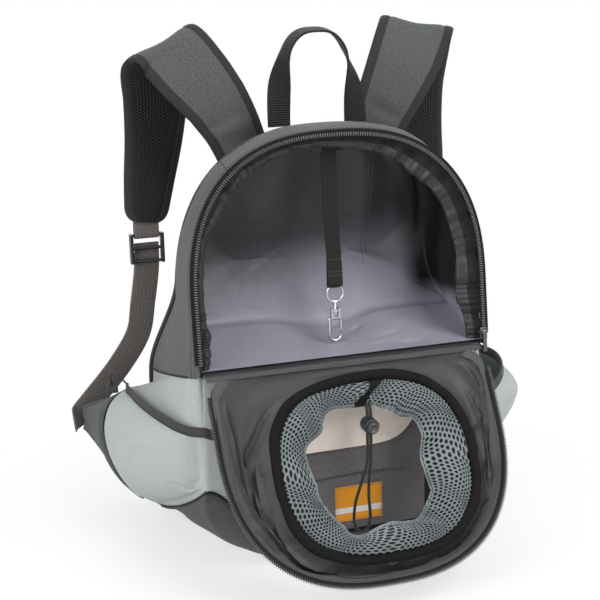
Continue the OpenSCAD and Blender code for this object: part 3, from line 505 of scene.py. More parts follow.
class Value:
    """A shader socket that sums, differences, products and powers can be written with."""

    def __init__(self, look, socket):
        self.look, self.socket = look, socket

    def _do(self, operation, *terms):
        return self.look.node("ShaderNodeMath", {"operation": operation}, *terms)

    def __add__(self, other):
        return self._do("ADD", self, other)

    def __sub__(self, other):
        return self._do("SUBTRACT", self, other)

    def __rsub__(self, other):
        return self._do("SUBTRACT", other, self)

    def __mul__(self, other):
        return self._do("MULTIPLY", self, other)

    def __truediv__(self, other):
        return self._do("DIVIDE", self, other)

    def __pow__(self, other):
        return self._do("POWER", self, other)

    def __mod__(self, other):
        return self._do("FLOORED_MODULO", self, other)

    def __gt__(self, other):
        return self._do("GREATER_THAN", self, other)

    def __lt__(self, other):
        return self._do("LESS_THAN", self, other)

    __radd__, __rmul__ = __add__, __mul__

    def sine(self):
        return self._do("SINE", self)

    def size(self):
        return self._do("ABSOLUTE", self)

    def floor(self):
        return self._do("FLOOR", self)

    def most(self, other):
        return self._do("MAXIMUM", self, other)

    def kept(self):
        return self._do("MINIMUM", self._do("MAXIMUM", self, 0.0), 1.0)

    def step(self, low, high):
        """0 below low, 1 above high, eased between them."""
        settings = {"interpolation_type": "SMOOTHSTEP"}
        return self.look.node("ShaderNodeMapRange", settings, self, low, high)


def tone(r, g, b):
    """A colour as its screen values from 0 to 255 read it, made linear."""
    c = np.array([r, g, b]) / 255
    return (*np.where(c <= 0.04045, c / 12.92, ((c + 0.055) / 1.055) ** 2.4).tolist(), 1.0)


class Look:
    """A material whose nodes are written as expressions."""

    def __init__(self, name, **constants):
        self.material = bpy.data.materials.new(name)
        self.material.use_nodes = True
        self.nodes, self.links = self.material.node_tree.nodes, self.material.node_tree.links
        self.shader = self.nodes["Principled BSDF"]
        for socket, value in constants.items():
            self.shader.inputs[socket.replace("_", " ")].default_value = value

    def node(self, kind, settings=None, *inputs, out=0, **named):
        """One node: its settings first, then values or links for its sockets by order or by name."""
        made = self.nodes.new(kind)
        for key, value in (settings or {}).items():
            setattr(made, key, value)
        pairs = list(zip(made.inputs, inputs))
        pairs += [(made.inputs[key.replace("_", " ")], value) for key, value in named.items()]
        for socket, value in pairs:
            if isinstance(value, Value):
                self.links.new(value.socket, socket)
            elif value is not None:
                socket.default_value = value
        return Value(self, made.outputs[out])

    def flat(self):
        """The piece's own flat coordinates in millimetres, as two values."""
        uv = self.node("ShaderNodeUVMap", {"uv_map": "UVMap"})
        return self.parts(uv, 1000.0)[:2]

    def place(self, scale=1000.0):
        """Object coordinates in millimetres, as three values."""
        return self.parts(self.node("ShaderNodeTexCoord", None, out=3), scale)

    def parts(self, vector, scale):
        """A vector's three values, scaled."""
        split = self.nodes.new("ShaderNodeSeparateXYZ")
        self.links.new(vector.socket, split.inputs[0])
        return [Value(self, s) * scale for s in split.outputs]

    def joined(self, x, y, z=0.0):
        """A vector of three values."""
        return self.node("ShaderNodeCombineXYZ", None, x, y, z)

    def noise(self, vector, scale, detail=2.0, rough=0.5):
        """Noise from 0 to 1 over a vector in millimetres; scale is cells per millimetre."""
        return self.node("ShaderNodeTexNoise", None, None, None, scale, detail, rough, Vector=vector)

    def mix(self, share, a, b):
        """Colour a turning to colour b by share."""
        made = self.nodes.new("ShaderNodeMix")
        made.data_type = "RGBA"
        for socket, value in zip((made.inputs[0], made.inputs[6], made.inputs[7]), (share, a, b)):
            if isinstance(value, Value):
                self.links.new(value.socket, socket)
            else:
                socket.default_value = value
        return Value(self, made.outputs[2])

    def set(self, **sockets):
        """Feeds the shader's own sockets."""
        for name, value in sockets.items():
            self.links.new(value.socket, self.shader.inputs[name.replace("_", " ")])
        return self

    def bump(self, height, depth, strength=1.0):
        """Raises the surface by height times depth in millimetres."""
        tilt = self.node("ShaderNodeBump", None, Strength=strength, Distance=depth * MM, Height=height)
        return self.set(Normal=tilt)


def soil(look, cells=0.03):
    """Slow uneven shade over a cloth, about 0 to 1."""
    place = look.joined(*look.place())
    return look.noise(place, cells, 3.0, 0.6)


def plain_weave(u, v, pitch):
    """Over-and-under threads: height of the two thread sets and which of them lies on top."""
    a, b = u * (math.pi / pitch), v * (math.pi / pitch)
    over = (a.sine() * b.sine()).step(-0.35, 0.35)
    warp = a.sine().size() ** 0.6
    weft = b.sine().size() ** 0.6
    return over * warp + (1 - over) * weft, over


def woven(name, base, shade, pitch=0.9, rough=0.72, sheen=0.1, slub=0.5, depth=0.12):
    """Woven polyester: plain weave with uneven threads, a broad soft shade and a slight sheen."""
    look = Look(name, Sheen_Weight=sheen, Sheen_Roughness=0.45, Specular_IOR_Level=0.14)
    u, v = look.flat()
    height, over = plain_weave(u, v, pitch)
    thread = look.noise(look.joined(u * 0.08, v), 1.3, 2.0) * over
    thread = thread + look.noise(look.joined(u, v * 0.08), 1.3, 2.0) * (1 - over)
    fleck = (thread - 0.5) * slub
    shadow = (1 - height) * 0.35
    grain = look.noise(look.joined(u, v), 0.5, 3.0, 0.75) - 0.5
    share = (soil(look) * 0.5 - 0.25 + shadow - fleck * 0.5 + over * 0.12 + grain * 3.2).kept()
    look.set(Base_Color=look.mix(share, base, shade))
    look.set(Roughness=(rough + (soil(look, 0.08) - 0.5) * 0.2 + (1 - height) * 0.1).kept())
    return look.bump(height + fleck * 0.5 + grain * 2.0, depth)


def satin(name, base, shade, rough=0.36, pitch=0.45, sheen=0.04, wrinkle=0.12, cells=0.05, painted_shade_high=None):
    """Coated satin: fine threads and soft small creases; the optional third colour is painted shade that
    darkens the cabin lining high up, and the upper right wall is painted near black as shade.
    """
    look = Look(name, Sheen_Weight=sheen, Sheen_Roughness=0.3, Specular_IOR_Level=0.3)
    u, v = look.flat()
    thread = (u * (math.pi / pitch)).sine().size() ** 0.7
    long = look.noise(look.joined(u * 2.0, v * 0.06), 0.9, 2.0)
    place = look.joined(*look.place())
    crease = look.noise(place, cells, 2.0, 0.4).step(0.35, 0.65)
    share = (soil(look, 0.02) * 0.5 + (long - 0.5) * 0.3 + (1 - thread) * 0.15).kept()
    colour = look.mix(share, base, shade)
    if painted_shade_high:
        x, _, z = look.place()
        # Painted shade: the lining colour turns to a darker neutral grey higher up in the cabin, where less
        # light reaches.
        colour = look.mix((z - x * 0.2).step(228.0, 318.0), colour, painted_shade_high)
        # Painted shade: the upper right wall of the cabin is painted near black, standing in for its shadow.
        wall = (x + (z - 260) * 0.15).step(94.0, 118.0) * z.step(226.0, 250.0)
        colour = look.mix(wall, colour, tone(26, 24, 25))
    look.set(Base_Color=colour)
    look.set(Roughness=(rough + (long - 0.5) * 0.12 + (soil(look, 0.05) - 0.5) * 0.12).kept())
    return look.bump(thread * 0.04 + crease * wrinkle * 4.0 + long * 0.03, 1.0)


def ribbed(name, base, shade, pitch=1.1, rough=0.7, depth=0.16):
    """Binding tape: narrow cross ribs and a rounded selvedge thread."""
    look = Look(name, Sheen_Weight=0.06, Sheen_Roughness=0.4, Specular_IOR_Level=0.14)
    u, v = look.flat()
    rib = (u * (math.pi / pitch)).sine().size() ** 0.7
    fine = (v * (math.pi / 0.4)).sine().size()
    share = ((1 - rib) * 0.6 + (1 - fine) * 0.15 + (soil(look) - 0.5) * 0.5 + 0.1).kept()
    look.set(Base_Color=look.mix(share, base, shade), Roughness=(rough + (1 - rib) * 0.12).kept())
    return look.bump(rib + fine * 0.3, depth)


def herringbone(name, base, shade, band=3.7, pitch=2.6, rough=0.6):
    """Webbing: bands of slanted yarns that turn at each band, with uneven yarns."""
    look = Look(name, Sheen_Weight=0.06, Sheen_Roughness=0.35, Specular_IOR_Level=0.16)
    u, v = look.flat()
    zig = ((v / band) % 2.0 - 1.0).size() * band
    yarn = ((u + zig) * (math.pi / pitch)).sine().size() ** 0.6
    edge = (((v / band) % 1.0) - 0.5).size().step(0.38, 0.5)
    uneven = look.noise(look.joined(u, v), 1.6, 2.0)
    share = ((1 - yarn) * 1.1 + edge * 0.3 + (uneven - 0.5) * 0.6).kept()
    look.set(Base_Color=look.mix(share, base, shade), Roughness=(rough + (1 - yarn) * 0.15).kept())
    return look.bump(yarn + uneven * 0.4 - edge * 0.5, 0.2)


def twill(name, base, shade, pitch=1.3, rough=0.75):
    """Strap face: slanted twill ribs with flecked threads."""
    look = Look(name, Sheen_Weight=0.1, Sheen_Roughness=0.5, Specular_IOR_Level=0.12)
    u, v = look.flat()
    rib = ((u + v * 0.6) * (math.pi / pitch)).sine().size() ** 0.8
    cut = ((u * 0.6 - v) * (math.pi / 0.55)).sine().size()
    fleck = look.noise(look.joined(u, v), 0.5, 3.0, 0.75)
    share = ((1 - rib) * 0.5 + (1 - cut) * 0.2 + (fleck - 0.5) * 3.0 + (soil(look) - 0.5) * 0.4).kept()
    look.set(Base_Color=look.mix(share, base, shade), Roughness=(rough + (fleck - 0.5) * 0.2).kept())
    return look.bump(rib + cut * 0.3 + fleck * 1.5, 0.18)


def spacer_mesh(name, base, shade, pitch=3.4):
    """Spacer mesh: staggered round holes in a knitted face, dark inside."""
    look = Look(name, Sheen_Weight=0.06, Sheen_Roughness=0.5, Specular_IOR_Level=0.14)
    u, v = look.flat()
    row = (v / (pitch * 0.866)).floor()
    x = ((u / pitch + row * 0.5) % 1.0 - 0.5) * pitch
    y = ((v / (pitch * 0.866)) % 1.0 - 0.5) * (pitch * 0.866)
    far = (x * x + y * y) ** 0.5
    solid = far.step(0.24 * pitch, 0.4 * pitch)
    knit = (u * (math.pi / 0.5)).sine() * (v * (math.pi / 0.5)).sine()
    share = ((1 - solid) * 0.95 + (0.5 - knit * 0.5) * 0.25 * solid).kept()
    look.set(Base_Color=look.mix(share, base, shade), Roughness=(0.7 + (1 - solid) * 0.2).kept())
    return look.bump(solid + knit * 0.12, 0.5)


def yarn_mesh(name, base, shade):
    """Knitted air mesh yarns: uneven, slightly glossy filament."""
    look = Look(name, Sheen_Weight=0.1, Sheen_Roughness=0.4, Specular_IOR_Level=0.2)
    place = look.joined(*look.place())
    fine = look.noise(place, 1.6, 2.0)
    share = ((fine - 0.5) * 0.8 + soil(look, 0.025) * 0.7 - 0.1).kept()
    look.set(Base_Color=look.mix(share, base, shade), Roughness=(0.5 + (fine - 0.5) * 0.3).kept())
    return look.bump(fine, 0.15)


def braid(name, base, shade):
    """Round cord: two sets of yarns that cross on the slant."""
    look = Look(name, Sheen_Weight=0.2, Sheen_Roughness=0.4, Specular_IOR_Level=0.4)
    u, v = look.flat()
    one = ((u + v * 0.9) * (math.pi / 0.8)).sine()
    two = ((u - v * 0.9) * (math.pi / 0.8)).sine()
    height = (one * two) * 0.5 + 0.5
    look.set(Base_Color=look.mix((1 - height) * 0.8, base, shade), Roughness=0.5 + (1 - height) * 0.25)
    return look.bump(height, 0.2)


def moulded(name, base, shade, rough=0.42):
    """Moulded plastic: fine grain, slow tone changes and slight rubbed patches."""
    look = Look(name, Specular_IOR_Level=0.5)
    place = look.joined(*look.place())
    grain = look.noise(place, 2.4, 3.0, 0.6)
    rub = look.noise(place, 0.15, 3.0, 0.6)
    look.set(Base_Color=look.mix((rub * 0.7 + (grain - 0.5) * 0.4).kept(), base, shade))
    look.set(Roughness=(rough + (rub - 0.5) * 0.25 + (grain - 0.5) * 0.15).kept())
    return look.bump(grain, 0.05)


def plated(name, base, shade, rough=0.2):
    """Plated steel: light brushing, dull spots and fine scratches."""
    look = Look(name, Metallic=1.0)
    x, y, z = look.place()
    brush = look.noise(look.joined(x * 2.5, y * 2.5, z * 0.3), 1.2, 3.0)
    spots = look.noise(look.joined(x, y, z), 0.35, 3.0, 0.65)
    look.set(Base_Color=look.mix((spots * 0.8 + (brush - 0.5) * 0.3 - 0.1).kept(), base, shade))
    look.set(Roughness=(rough + (spots - 0.4) * 0.3 + (brush - 0.5) * 0.12).kept())
    return look.bump(brush, 0.02)


def sewn_label(name, base, band):
    """Blank woven label: a fine weave with one plain stripe along its lower edge."""
    look = Look(name, Sheen_Weight=0.15, Sheen_Roughness=0.4, Specular_IOR_Level=0.4)
    u, v = look.flat()
    z = look.place()[2]
    height = plain_weave(u, v, 0.5)[0]
    stripe = z.step(45.0, 45.4) * (1 - z.step(51.0, 51.4))
    shade = look.mix((1 - height) * 0.25, base, tone(205, 120, 20))
    look.set(Base_Color=look.mix(stripe, shade, band), Roughness=0.55 + (1 - height) * 0.2)
    return look.bump(height, 0.06)


DARK = woven("dark_cloth", tone(98, 100, 102), tone(66, 68, 70))
LIGHT = woven("light_cloth", tone(184, 190, 189), tone(154, 162, 162), pitch=0.7, depth=0.06, slub=0.3)
BOTTOM = woven("bottom_cloth", tone(88, 86, 88), tone(54, 53, 55))
BACK_MESH = spacer_mesh("back_spacer", tone(66, 68, 70), tone(20, 20, 22), 4.0)
STRAP_MESH = spacer_mesh("strap_spacer", tone(54, 54, 55), tone(10, 10, 11))
# The cabin lining carries painted shade: darker grey high up and near black on its upper right wall.
LINING = satin("cabin_satin", tone(156, 153, 166), tone(126, 123, 136), painted_shade_high=tone(66, 63, 65))
FLAP_LINING = satin("flap_satin", tone(58, 56, 58), tone(36, 34, 36), rough=0.4, wrinkle=0.05)
FACING = satin("zip_facing", tone(58, 56, 60), tone(24, 23, 25), rough=0.3, wrinkle=0.1)
BLACK_CLOTH = woven("black_cloth", tone(40, 39, 40), tone(20, 19, 20), pitch=0.6)
POCKET_CLOTH = woven("pocket_cloth", tone(118, 114, 115), tone(80, 77, 78), pitch=0.8)
AIR_MESH = yarn_mesh("air_mesh", tone(152, 161, 162), tone(104, 113, 115))
BINDING = ribbed("binding_tape", tone(84, 82, 82), tone(50, 48, 48))
STRAP_EDGING = ribbed("strap_edging", tone(62, 59, 58), tone(28, 27, 27))
SOFT_BINDING = ribbed("window_tape", tone(22, 20, 21), tone(8, 7, 8), pitch=0.8, depth=0.1)
RIM_TAPE = ribbed("rim_tape", tone(100, 97, 97), tone(66, 64, 64), pitch=0.8, depth=0.08)
STORM = woven("storm_cloth", tone(250, 237, 226), tone(230, 218, 207), pitch=0.6, rough=0.6, depth=0.04,
              slub=0.2)
TAPE = ribbed("zip_tape", tone(34, 33, 34), tone(16, 16, 17), pitch=0.7, depth=0.08)
WEBBING = herringbone("webbing", tone(46, 43, 42), tone(6, 5, 5))
GREY_WEBBING = herringbone("strap_webbing", tone(126, 120, 117), tone(48, 46, 45))
STRAP_TWILL = twill("strap_twill", tone(90, 92, 94), tone(58, 60, 61))
CORD_BRAID = braid("cord_braid", tone(44, 43, 44), tone(14, 14, 14))
COIL = moulded("coil", tone(104, 102, 102), tone(64, 63, 64), 0.28)
PLASTIC = moulded("black_plastic", tone(44, 43, 44), tone(24, 24, 25))
BUTTON = moulded("button_plastic", tone(78, 74, 74), tone(52, 49, 49), 0.34)
CHROME = plated("chrome", tone(214, 214, 216), tone(160, 160, 162), 0.14)
DARK_METAL = plated("dark_slider", tone(120, 120, 124), tone(60, 60, 62), 0.24)
THREAD = moulded("thread", tone(40, 40, 41), tone(22, 22, 23), 0.6)
PALE_THREAD = moulded("pale_thread", tone(92, 90, 98), tone(70, 68, 75), 0.6)
GREY_THREAD = moulded("grey_thread", tone(120, 122, 124), tone(92, 94, 96), 0.6)
LABEL = sewn_label("label_weave", tone(240, 160, 28), tone(236, 232, 222))
BOARD = moulded("board", tone(60, 58, 55), tone(40, 39, 37), 0.7)


# Bag

UP = np.array([0.0, 0.0, 1.0])
SIDES = {"left": -1, "right": 1}


def spread(*counts):
    """Two even parameters as grids; each count is (steps, from, to)."""
    return np.meshgrid(*[np.linspace(low, high, n) for n, low, high in counts], indexing="ij")


def on_side(side, grid):
    """A right-hand grid, or its mirror image with the outer face kept outside."""
    return grid if side > 0 else grid[::-1] * np.array([-1, 1, 1])


def raised(grid, height, wrap_u=False, wrap_v=False):
    """A grid moved along its normals."""
    return grid + normals(grid, wrap_u, wrap_v) * height[..., None]


def dent(u, v, at, size):
    """A round soft hollow of depth one."""
    return -np.exp(-((u - at[0]) / size[0]) ** 2 - ((v - at[1]) / size[1]) ** 2)


def outer_panel(name, low, high, count, seed):
    """Cabin panel between two shares of the arch; soft folds fade out towards its seams."""
    s, v = spread((count, low, high), (70, 0, 1))
    along = smooth(np.minimum(v, 1 - v) / 0.2) * (0.35 + 0.65 * smooth(np.minimum(s - low, high - s) / 0.03))
    fold = 1.7 * crumple(s * 700, v * 150, seed, 7, 0.025, 0.1) * along
    p = raised(gusset(s, v, 0), fold)
    Shape().slab(p, 2.4).piece(name, "bag", DARK, "dark_cloth", name)
    return p


PANEL_SPLIT = 0.34
wall_left = outer_panel("cabin_wall_left", 0, PANEL_SPLIT, 170, 3)
roof = outer_panel("cabin_roof", PANEL_SPLIT, 1 - PANEL_SPLIT, 130, 5)
wall_right = outer_panel("cabin_wall_right", 1 - PANEL_SPLIT, 1, 170, 8)

seams = Shape()
for panel in (wall_left, wall_right):
    n = normals(panel)
    for v in (2, 5):
        stitches(seams, panel[:, v], n[:, v])
for v in (2, 5):
    stitches(seams, roof[:, v], normals(roof)[:, v])
for row in (3, -4):
    stitches(seams, roof[row], normals(roof)[row])
seams.piece("cabin_stitches", "bag", THREAD, "binding")

# Lining of the cabin: a loose bag sewn in along the opening, with one closed outline for each row
WALL_ROWS = (0.02, 0.15, 0.36, 0.6, 0.78, 0.9)
FLOOR_ROWS = (0.02, 0.13, 0.26, 0.38, 0.48, 0.57)
LINING_INSETS = (4.2, 6.5, 7.5, 8.0, 8.5, 11.0)
WALL_BACKS = (0.86, 0.7, 0.46, 0.22, 0.0)
FLOOR_BACKS = (0.38, 0.28, 0.18, 0.08, 0.0)
ROW_EASE = (0, 1, 4, 5, 5, 5, 5, 4, 3, 2, 0)
BACK_GAP = 5.0
BACK_GAPS = (19.0, 11.0, 7.0, 5.0, 5.0)
FLOOR_LIFT = 2.4
SPINE_TOP = 304
ARCH_STEPS = 300
FLOOR_STEPS = 120


def floor_share(v):
    """Share of the arch at which the lining meets the floor."""
    return 0.004 + 0.082 * v


def eased(loop, width):
    """A closed loop of points, smoothed by a bell curve of that width in steps."""
    f = np.fft.fftfreq(len(loop))
    bell = np.exp(-2 * (math.pi * f * width) ** 2)[:, None]
    return np.fft.ifft(np.fft.fft(loop, axis=0) * bell, axis=0).real


def floor_sag(x, y):
    """Height of the loose lining over the floor: it lifts towards the back, later under the leash."""
    start = 54 + 58 * smooth((np.abs(x - LEASH_X) - 12) / 50)
    return floor_top(y) + FLOOR_LIFT + 26 * smooth((y + start) / start) ** 1.3


def lining_sheet(k):
    """Rows of the lining from the opening to the back, each up one side, over and along the floor."""
    sigma = np.linspace(0, 1, ARCH_STEPS)
    across = np.linspace(1, -1, FLOOR_STEPS + 2)[1:-1]
    low = smooth(1 - np.minimum(sigma, 1 - sigma) / 0.16)
    rows = []
    for wall, floor, inset in zip(WALL_ROWS, FLOOR_ROWS, LINING_INSETS):
        v = lerp(wall, floor, low)
        start = floor_share(v)
        round_top = gusset(start + (1 - 2 * start) * sigma, v, inset)
        end = round_top[-1]
        base = points(end[0] * across, end[1], 0)
        row = np.concatenate([round_top, base])
        row[:, 2] = np.maximum(row[:, 2], floor_sag(row[:, 0], row[:, 1]))
        rows.append(row)
    start = floor_share(1)
    x, z = back_arch(start + (1 - 2 * start) * sigma)
    x = np.concatenate([x, x[-1] * across])
    z = np.concatenate([z, np.full(FLOOR_STEPS, z[-1])])
    low = np.concatenate([low, np.ones(FLOOR_STEPS)])
    for wall, floor, gap in zip(WALL_BACKS, FLOOR_BACKS, BACK_GAPS):
        share = lerp(wall, floor, low)
        height = lerp(SPINE_TOP, z, share)
        rows.append(points(x * share, back_y(height) - lerp(BACK_GAP, gap, low), height))
    rows = np.array([eased(row, width) for row, width in zip(rows, ROW_EASE)])
    return curve(rows.reshape(len(rows), -1), k).reshape(-1, rows.shape[1], 3).transpose(1, 0, 2)


def bell(d, width):
    """Soft hump of height one."""
    return np.exp(-(d / width) ** 2)


def build_lining():
    """Broad soft folds: two upright ones on the back, long ones down the left wall, small pinches below."""
    p = lining_sheet(12)
    x, y, z = p[..., 0], p[..., 1], p[..., 2]
    turn, w = spread((p.shape[0], 0, 1), (p.shape[1], 0, 1))
    back = smooth((w - 0.42) / 0.35) * smooth((z - 232) / 110)
    rise = (11 * bell(x - 46 - (400 - z) * 0.06, 24) + 11 * bell(x + 36 + (400 - z) * 0.16, 28)) * back
    sewn = smooth(w / 0.12) * smooth((0.75 - w) / 0.2)
    left = smooth((0.45 - turn) / 0.08) * smooth(turn / 0.06) * sewn
    for at, lean, width, high in ((0.12, 0.9, 0.035, 5.0), (0.27, 0.75, 0.045, 4.0), (0.36, 0.4, 0.03, 3.5)):
        rise = rise + high * bell(w - at - lean * (0.4 - turn), width) * left
    right = smooth((turn - 0.42) / 0.08) * smooth((0.72 - turn) / 0.05) * sewn
    for at, lean, width, high in ((0.2, 0.8, 0.04, 5.0), (0.38, 1.1, 0.05, 4.0)):
        rise = rise + high * bell(w - at - lean * (turn - 0.5), width) * right
    slow = crumple(x, z + 0.6 * y, 12, 4, 0.03, 0.07)
    rise = rise + 1.6 * slow * smooth(w / 0.15)
    for px, py, size in ((26, -62, 5), (34, -44, 4), (40, -84, 6), (58, -70, 5), (18, -30, 5), (72, -92, 6)):
        rise = rise - 2.4 * bell(x - px, size * 1.6) * bell(y - py, size * 0.7) * (z < 225)
    p = raised(p, -rise, wrap_u=True)
    Shape().grid(p[::-1], wrap_u=True).piece("cabin_lining", "bag", LINING, "lining", turn=False)
    return p


lining = build_lining()


def back_seam():
    """Upright seam of the back lining: two rows of stitches in a shallow fold."""
    rows = Shape()
    flat = lining[:, 72:].reshape(-1, 3)
    for shift in (0.0, 5.0):
        z = np.linspace(262, 384, 60)
        x = 58 + shift - (z - 262) * 0.04
        near = np.argmin((flat[:, None, 0] - x) ** 2 + (flat[:, None, 2] - z) ** 2, 0)
        line = points(x, flat[near, 1] - 0.5, z)
        stitches(rows, curve(line[::6], 6), np.array([0.0, -1.0, 0.0]), 3.6, 2.6, 0.4)
    rows.piece("lining_seam", "bag", PALE_THREAD, "lining")


back_seam()


def build_floor():
    """Cabin floor: a flat pad under the lining, reaching across to the walls."""
    u, v = spread((90, -1, 1), (60, 0, 1))
    line = np.linspace(0.03, 1, 60)
    edge = gusset(1 - floor_share(line), line, 9.0)
    y = lerp(-HINGE_FRONT + 1.5, back_y(HINGE_Z + FLOOR_RISE) - BACK_GAP, v)
    x = u * np.interp(y[0], edge[:, 1], edge[:, 0])
    p = points(x, y, floor_top(y) - 0.2)
    Shape().slab(p, 2.0).piece("cabin_floor", "bag", LINING, "lining", "cabin_floor")


build_floor()


def build_facing():
    """Loose strip inside the zip: it turns in with soft cross folds, and hangs wide at the right."""
    s, w = spread((620, 0.004, 0.996), (17, 0, 1))
    wave = crumple(s * 880, w * 6, 44, 6, 0.16, 0.6)
    slow = crumple(s * 880, w * 0, 45, 4, 0.03, 0.09)
    reach = 10.0 + 2.2 * slow + 6.0 * smooth((s - 0.5) / 0.15) * smooth((0.98 - s) / 0.1)
    rows = curve([[-0.8, 0.0, 3.4], [0.3, 0.1, 6.5], [0.0, 0.75, 9.0], [0.8, 1.1, 13.0], [4.0, 0.5, 19.0]], 4)
    g = -(rows[:, 0][None] + rows[:, 1][None] * reach)
    x, t = arch(s, g)
    p = rim_pt(x, t, np.broadcast_to(rows[:, 2][None], s.shape))
    p = raised(p, 3.0 * wave * np.sin(math.pi * np.clip(w * 1.2, 0, 1)) ** 0.7)
    loose = (w > 0.42).astype(int)
    Shape().slab(p, -0.8, tag=loose).piece("zip_facing", "bag", [BLACK_CLOTH, FACING], "lining", turn=True)


build_facing()


ZIP_PITCH = 2.3


def zip_half(name, node, path, out, up, body):
    """Half a coil zip: a narrow woven tape, and one bent coil turn for each pitch along its edge."""
    full = even(np.concatenate([path, out, up], -1), ZIP_PITCH)
    path, out, up = full[:, :3], unit(full[:, 3:6]), unit(full[:, 6:])
    t = tangents(path)
    rows = [(-2.2, 0.85, 0.62), (-1.5, 1.0, 0.95), (-0.4, 1.12, 1.0), (0.8, 1.0, 0.9), (1.5, 0.8, 0.55)]
    x, y = STITCH_RING.T * np.array([[0.62], [0.8]])
    verts = np.concatenate([np.column_stack([x * r, np.full(6, a), y * r + h - 0.9])
                            for a, h, r in rows])
    faces = [[r * 6 + i, r * 6 + (i + 1) % 6, (r + 1) * 6 + (i + 1) % 6, (r + 1) * 6 + i]
             for r in range(4) for i in range(6)]
    faces += [[0, 1, 4, 5], [1, 2, 3, 4], [29, 28, 25, 24], [28, 27, 26, 25]]
    coil = Shape().copies(verts, faces, np.stack([t, out, up], 1), path + up * 0.4)
    coil.piece(name + "_coil", body, COIL, "zip_coil", node, turn=True)
    line = np.linspace(-0.6, 4.6, 7)
    strip = path[:, None] + out[:, None] * line[None, :, None] - up[:, None] * 0.7
    Shape().slab(strip, 0.9).piece(name + "_tape", body, TAPE, "zip_coil", node, turn=True)


def rim_zip():
    """Zip half along the opening, on the front of the cabin's edge."""
    s = np.linspace(0.03, 0.97, 700)
    path = rim_pt(*arch(s, 1.2), 0.0)
    out = unit(rim_pt(*arch(s, 3.0), 0.0) - path)
    front = -unit(rim_pt(0.0, 0.0, 1.0) - rim_pt(0.0, 0.0, 0.0))
    zip_half("body_zip", "body_zip", path, out, np.broadcast_to(front, path.shape), "bag")


rim_zip()


def back_pad():
    """Back panel: a closed flat cushion, with sewn channels pressed into its outer face."""
    z, a = spread((190, FRONT_LOW_Z, TOP_Z), (140, 0, 2 * math.pi * 139 / 140))
    half = np.maximum(12, back_half(z))
    x = half * spow(np.cos(a), 0.4)
    end = np.minimum(1, np.minimum(z - FRONT_LOW_Z, TOP_Z - z) / 12)
    thick = BACK_T / 2 * (0.35 + 0.65 * np.sqrt(1 - (1 - end) ** 2))
    y = back_y(z) + BACK_T / 2 + thick * spow(np.sin(a), 0.55)
    outer = np.sin(a) > 0
    channel = sum(np.exp(-((np.abs(x) - c) / 3.2) ** 2) for c in (16, 74))
    cross = sum(np.exp(-((z - c) / 3.2) ** 2) for c in (120, 230, 330))
    y = y - np.where(outer, 3.0 * np.maximum(channel, cross * (np.abs(x) < 74)), 0)
    y = y + np.where(outer, 0.8 * crumple(x, z, 61, 5, 0.03, 0.08), 0)
    pad = Shape().loft(points(x, y, z))
    pad = pad.piece("back_panel", "bag", BACK_MESH, "back_mesh", "back_panel", turn=True)
    edge = np.linspace(FRONT_LOW_Z, TOP_Z, 160)
    half = np.maximum(12, back_half(edge)) + 0.4
    line = points(half, back_y(edge) + BACK_T / 2, edge)
    both = np.concatenate([line, line[::-1] * np.array([-1, 1, 1])])
    Shape().loft(tube(even(both, 3), 2.4, 10)).piece("back_piping", "bag", BINDING, "binding", turn=True)


back_pad()


def tub():
    """Bottom panel: base and swelling walls in one sheet, round and closed underneath."""
    w, q = spread((300, -1, 1), (60, -0.6, 1))
    a = -math.pi / 2 + math.pi * w
    reach = np.clip(1 + q / 0.6, 0, 1)
    base = points(BASE_W * spow(np.cos(a), 2 / 3.4) * reach,
                  BASE_MID_Y + BASE_D * spow(np.sin(a), 2 / 3.4) * reach, 0)
    p = np.where(q[..., None] < 0, base, tub_pt(w, np.maximum(q, 0)))
    fold = crumple(w * 500, q * 90, 71, 6, 0.025, 0.09)
    walls = smooth(q / 0.3) * smooth((1 - q) / 0.25)
    p = raised(p, 1.6 * fold * walls)
    p[..., 2] = np.maximum(p[..., 2], 0)
    Shape().slab(p, 2.0).piece("bottom_panel", "bag", BOTTOM, "dark_cloth", "bottom_panel")
    edge = even(tub_edge(np.linspace(-1, 1, 400)) + UP * 0.8, 3)
    Shape().loft(tube(edge, 1.5, 8)).piece("bottom_piping", "bag", BLACK_CLOTH, "binding", turn=True)


tub()


# Front pocket from its top seam over the pleat to its foot: height and how far it stands out
POCKET_PROFILE = [[168, 0.6], [166, 2.4], [150, 3.6], [120, 4.4], [94, 4.8], [87.5, 5.4], [84.6, 4.6],
                  [86.0, 2.6], [88.5, 1.6], [84, 2.2], [76, 3.4], [60, 4.2], [38, 3.4], [27, 0.8]]
POCKET_HALF = 84
LABEL_X, LABEL_Z, LABEL_HALF_W, LABEL_HALF_H = 13, 55, 24, 18


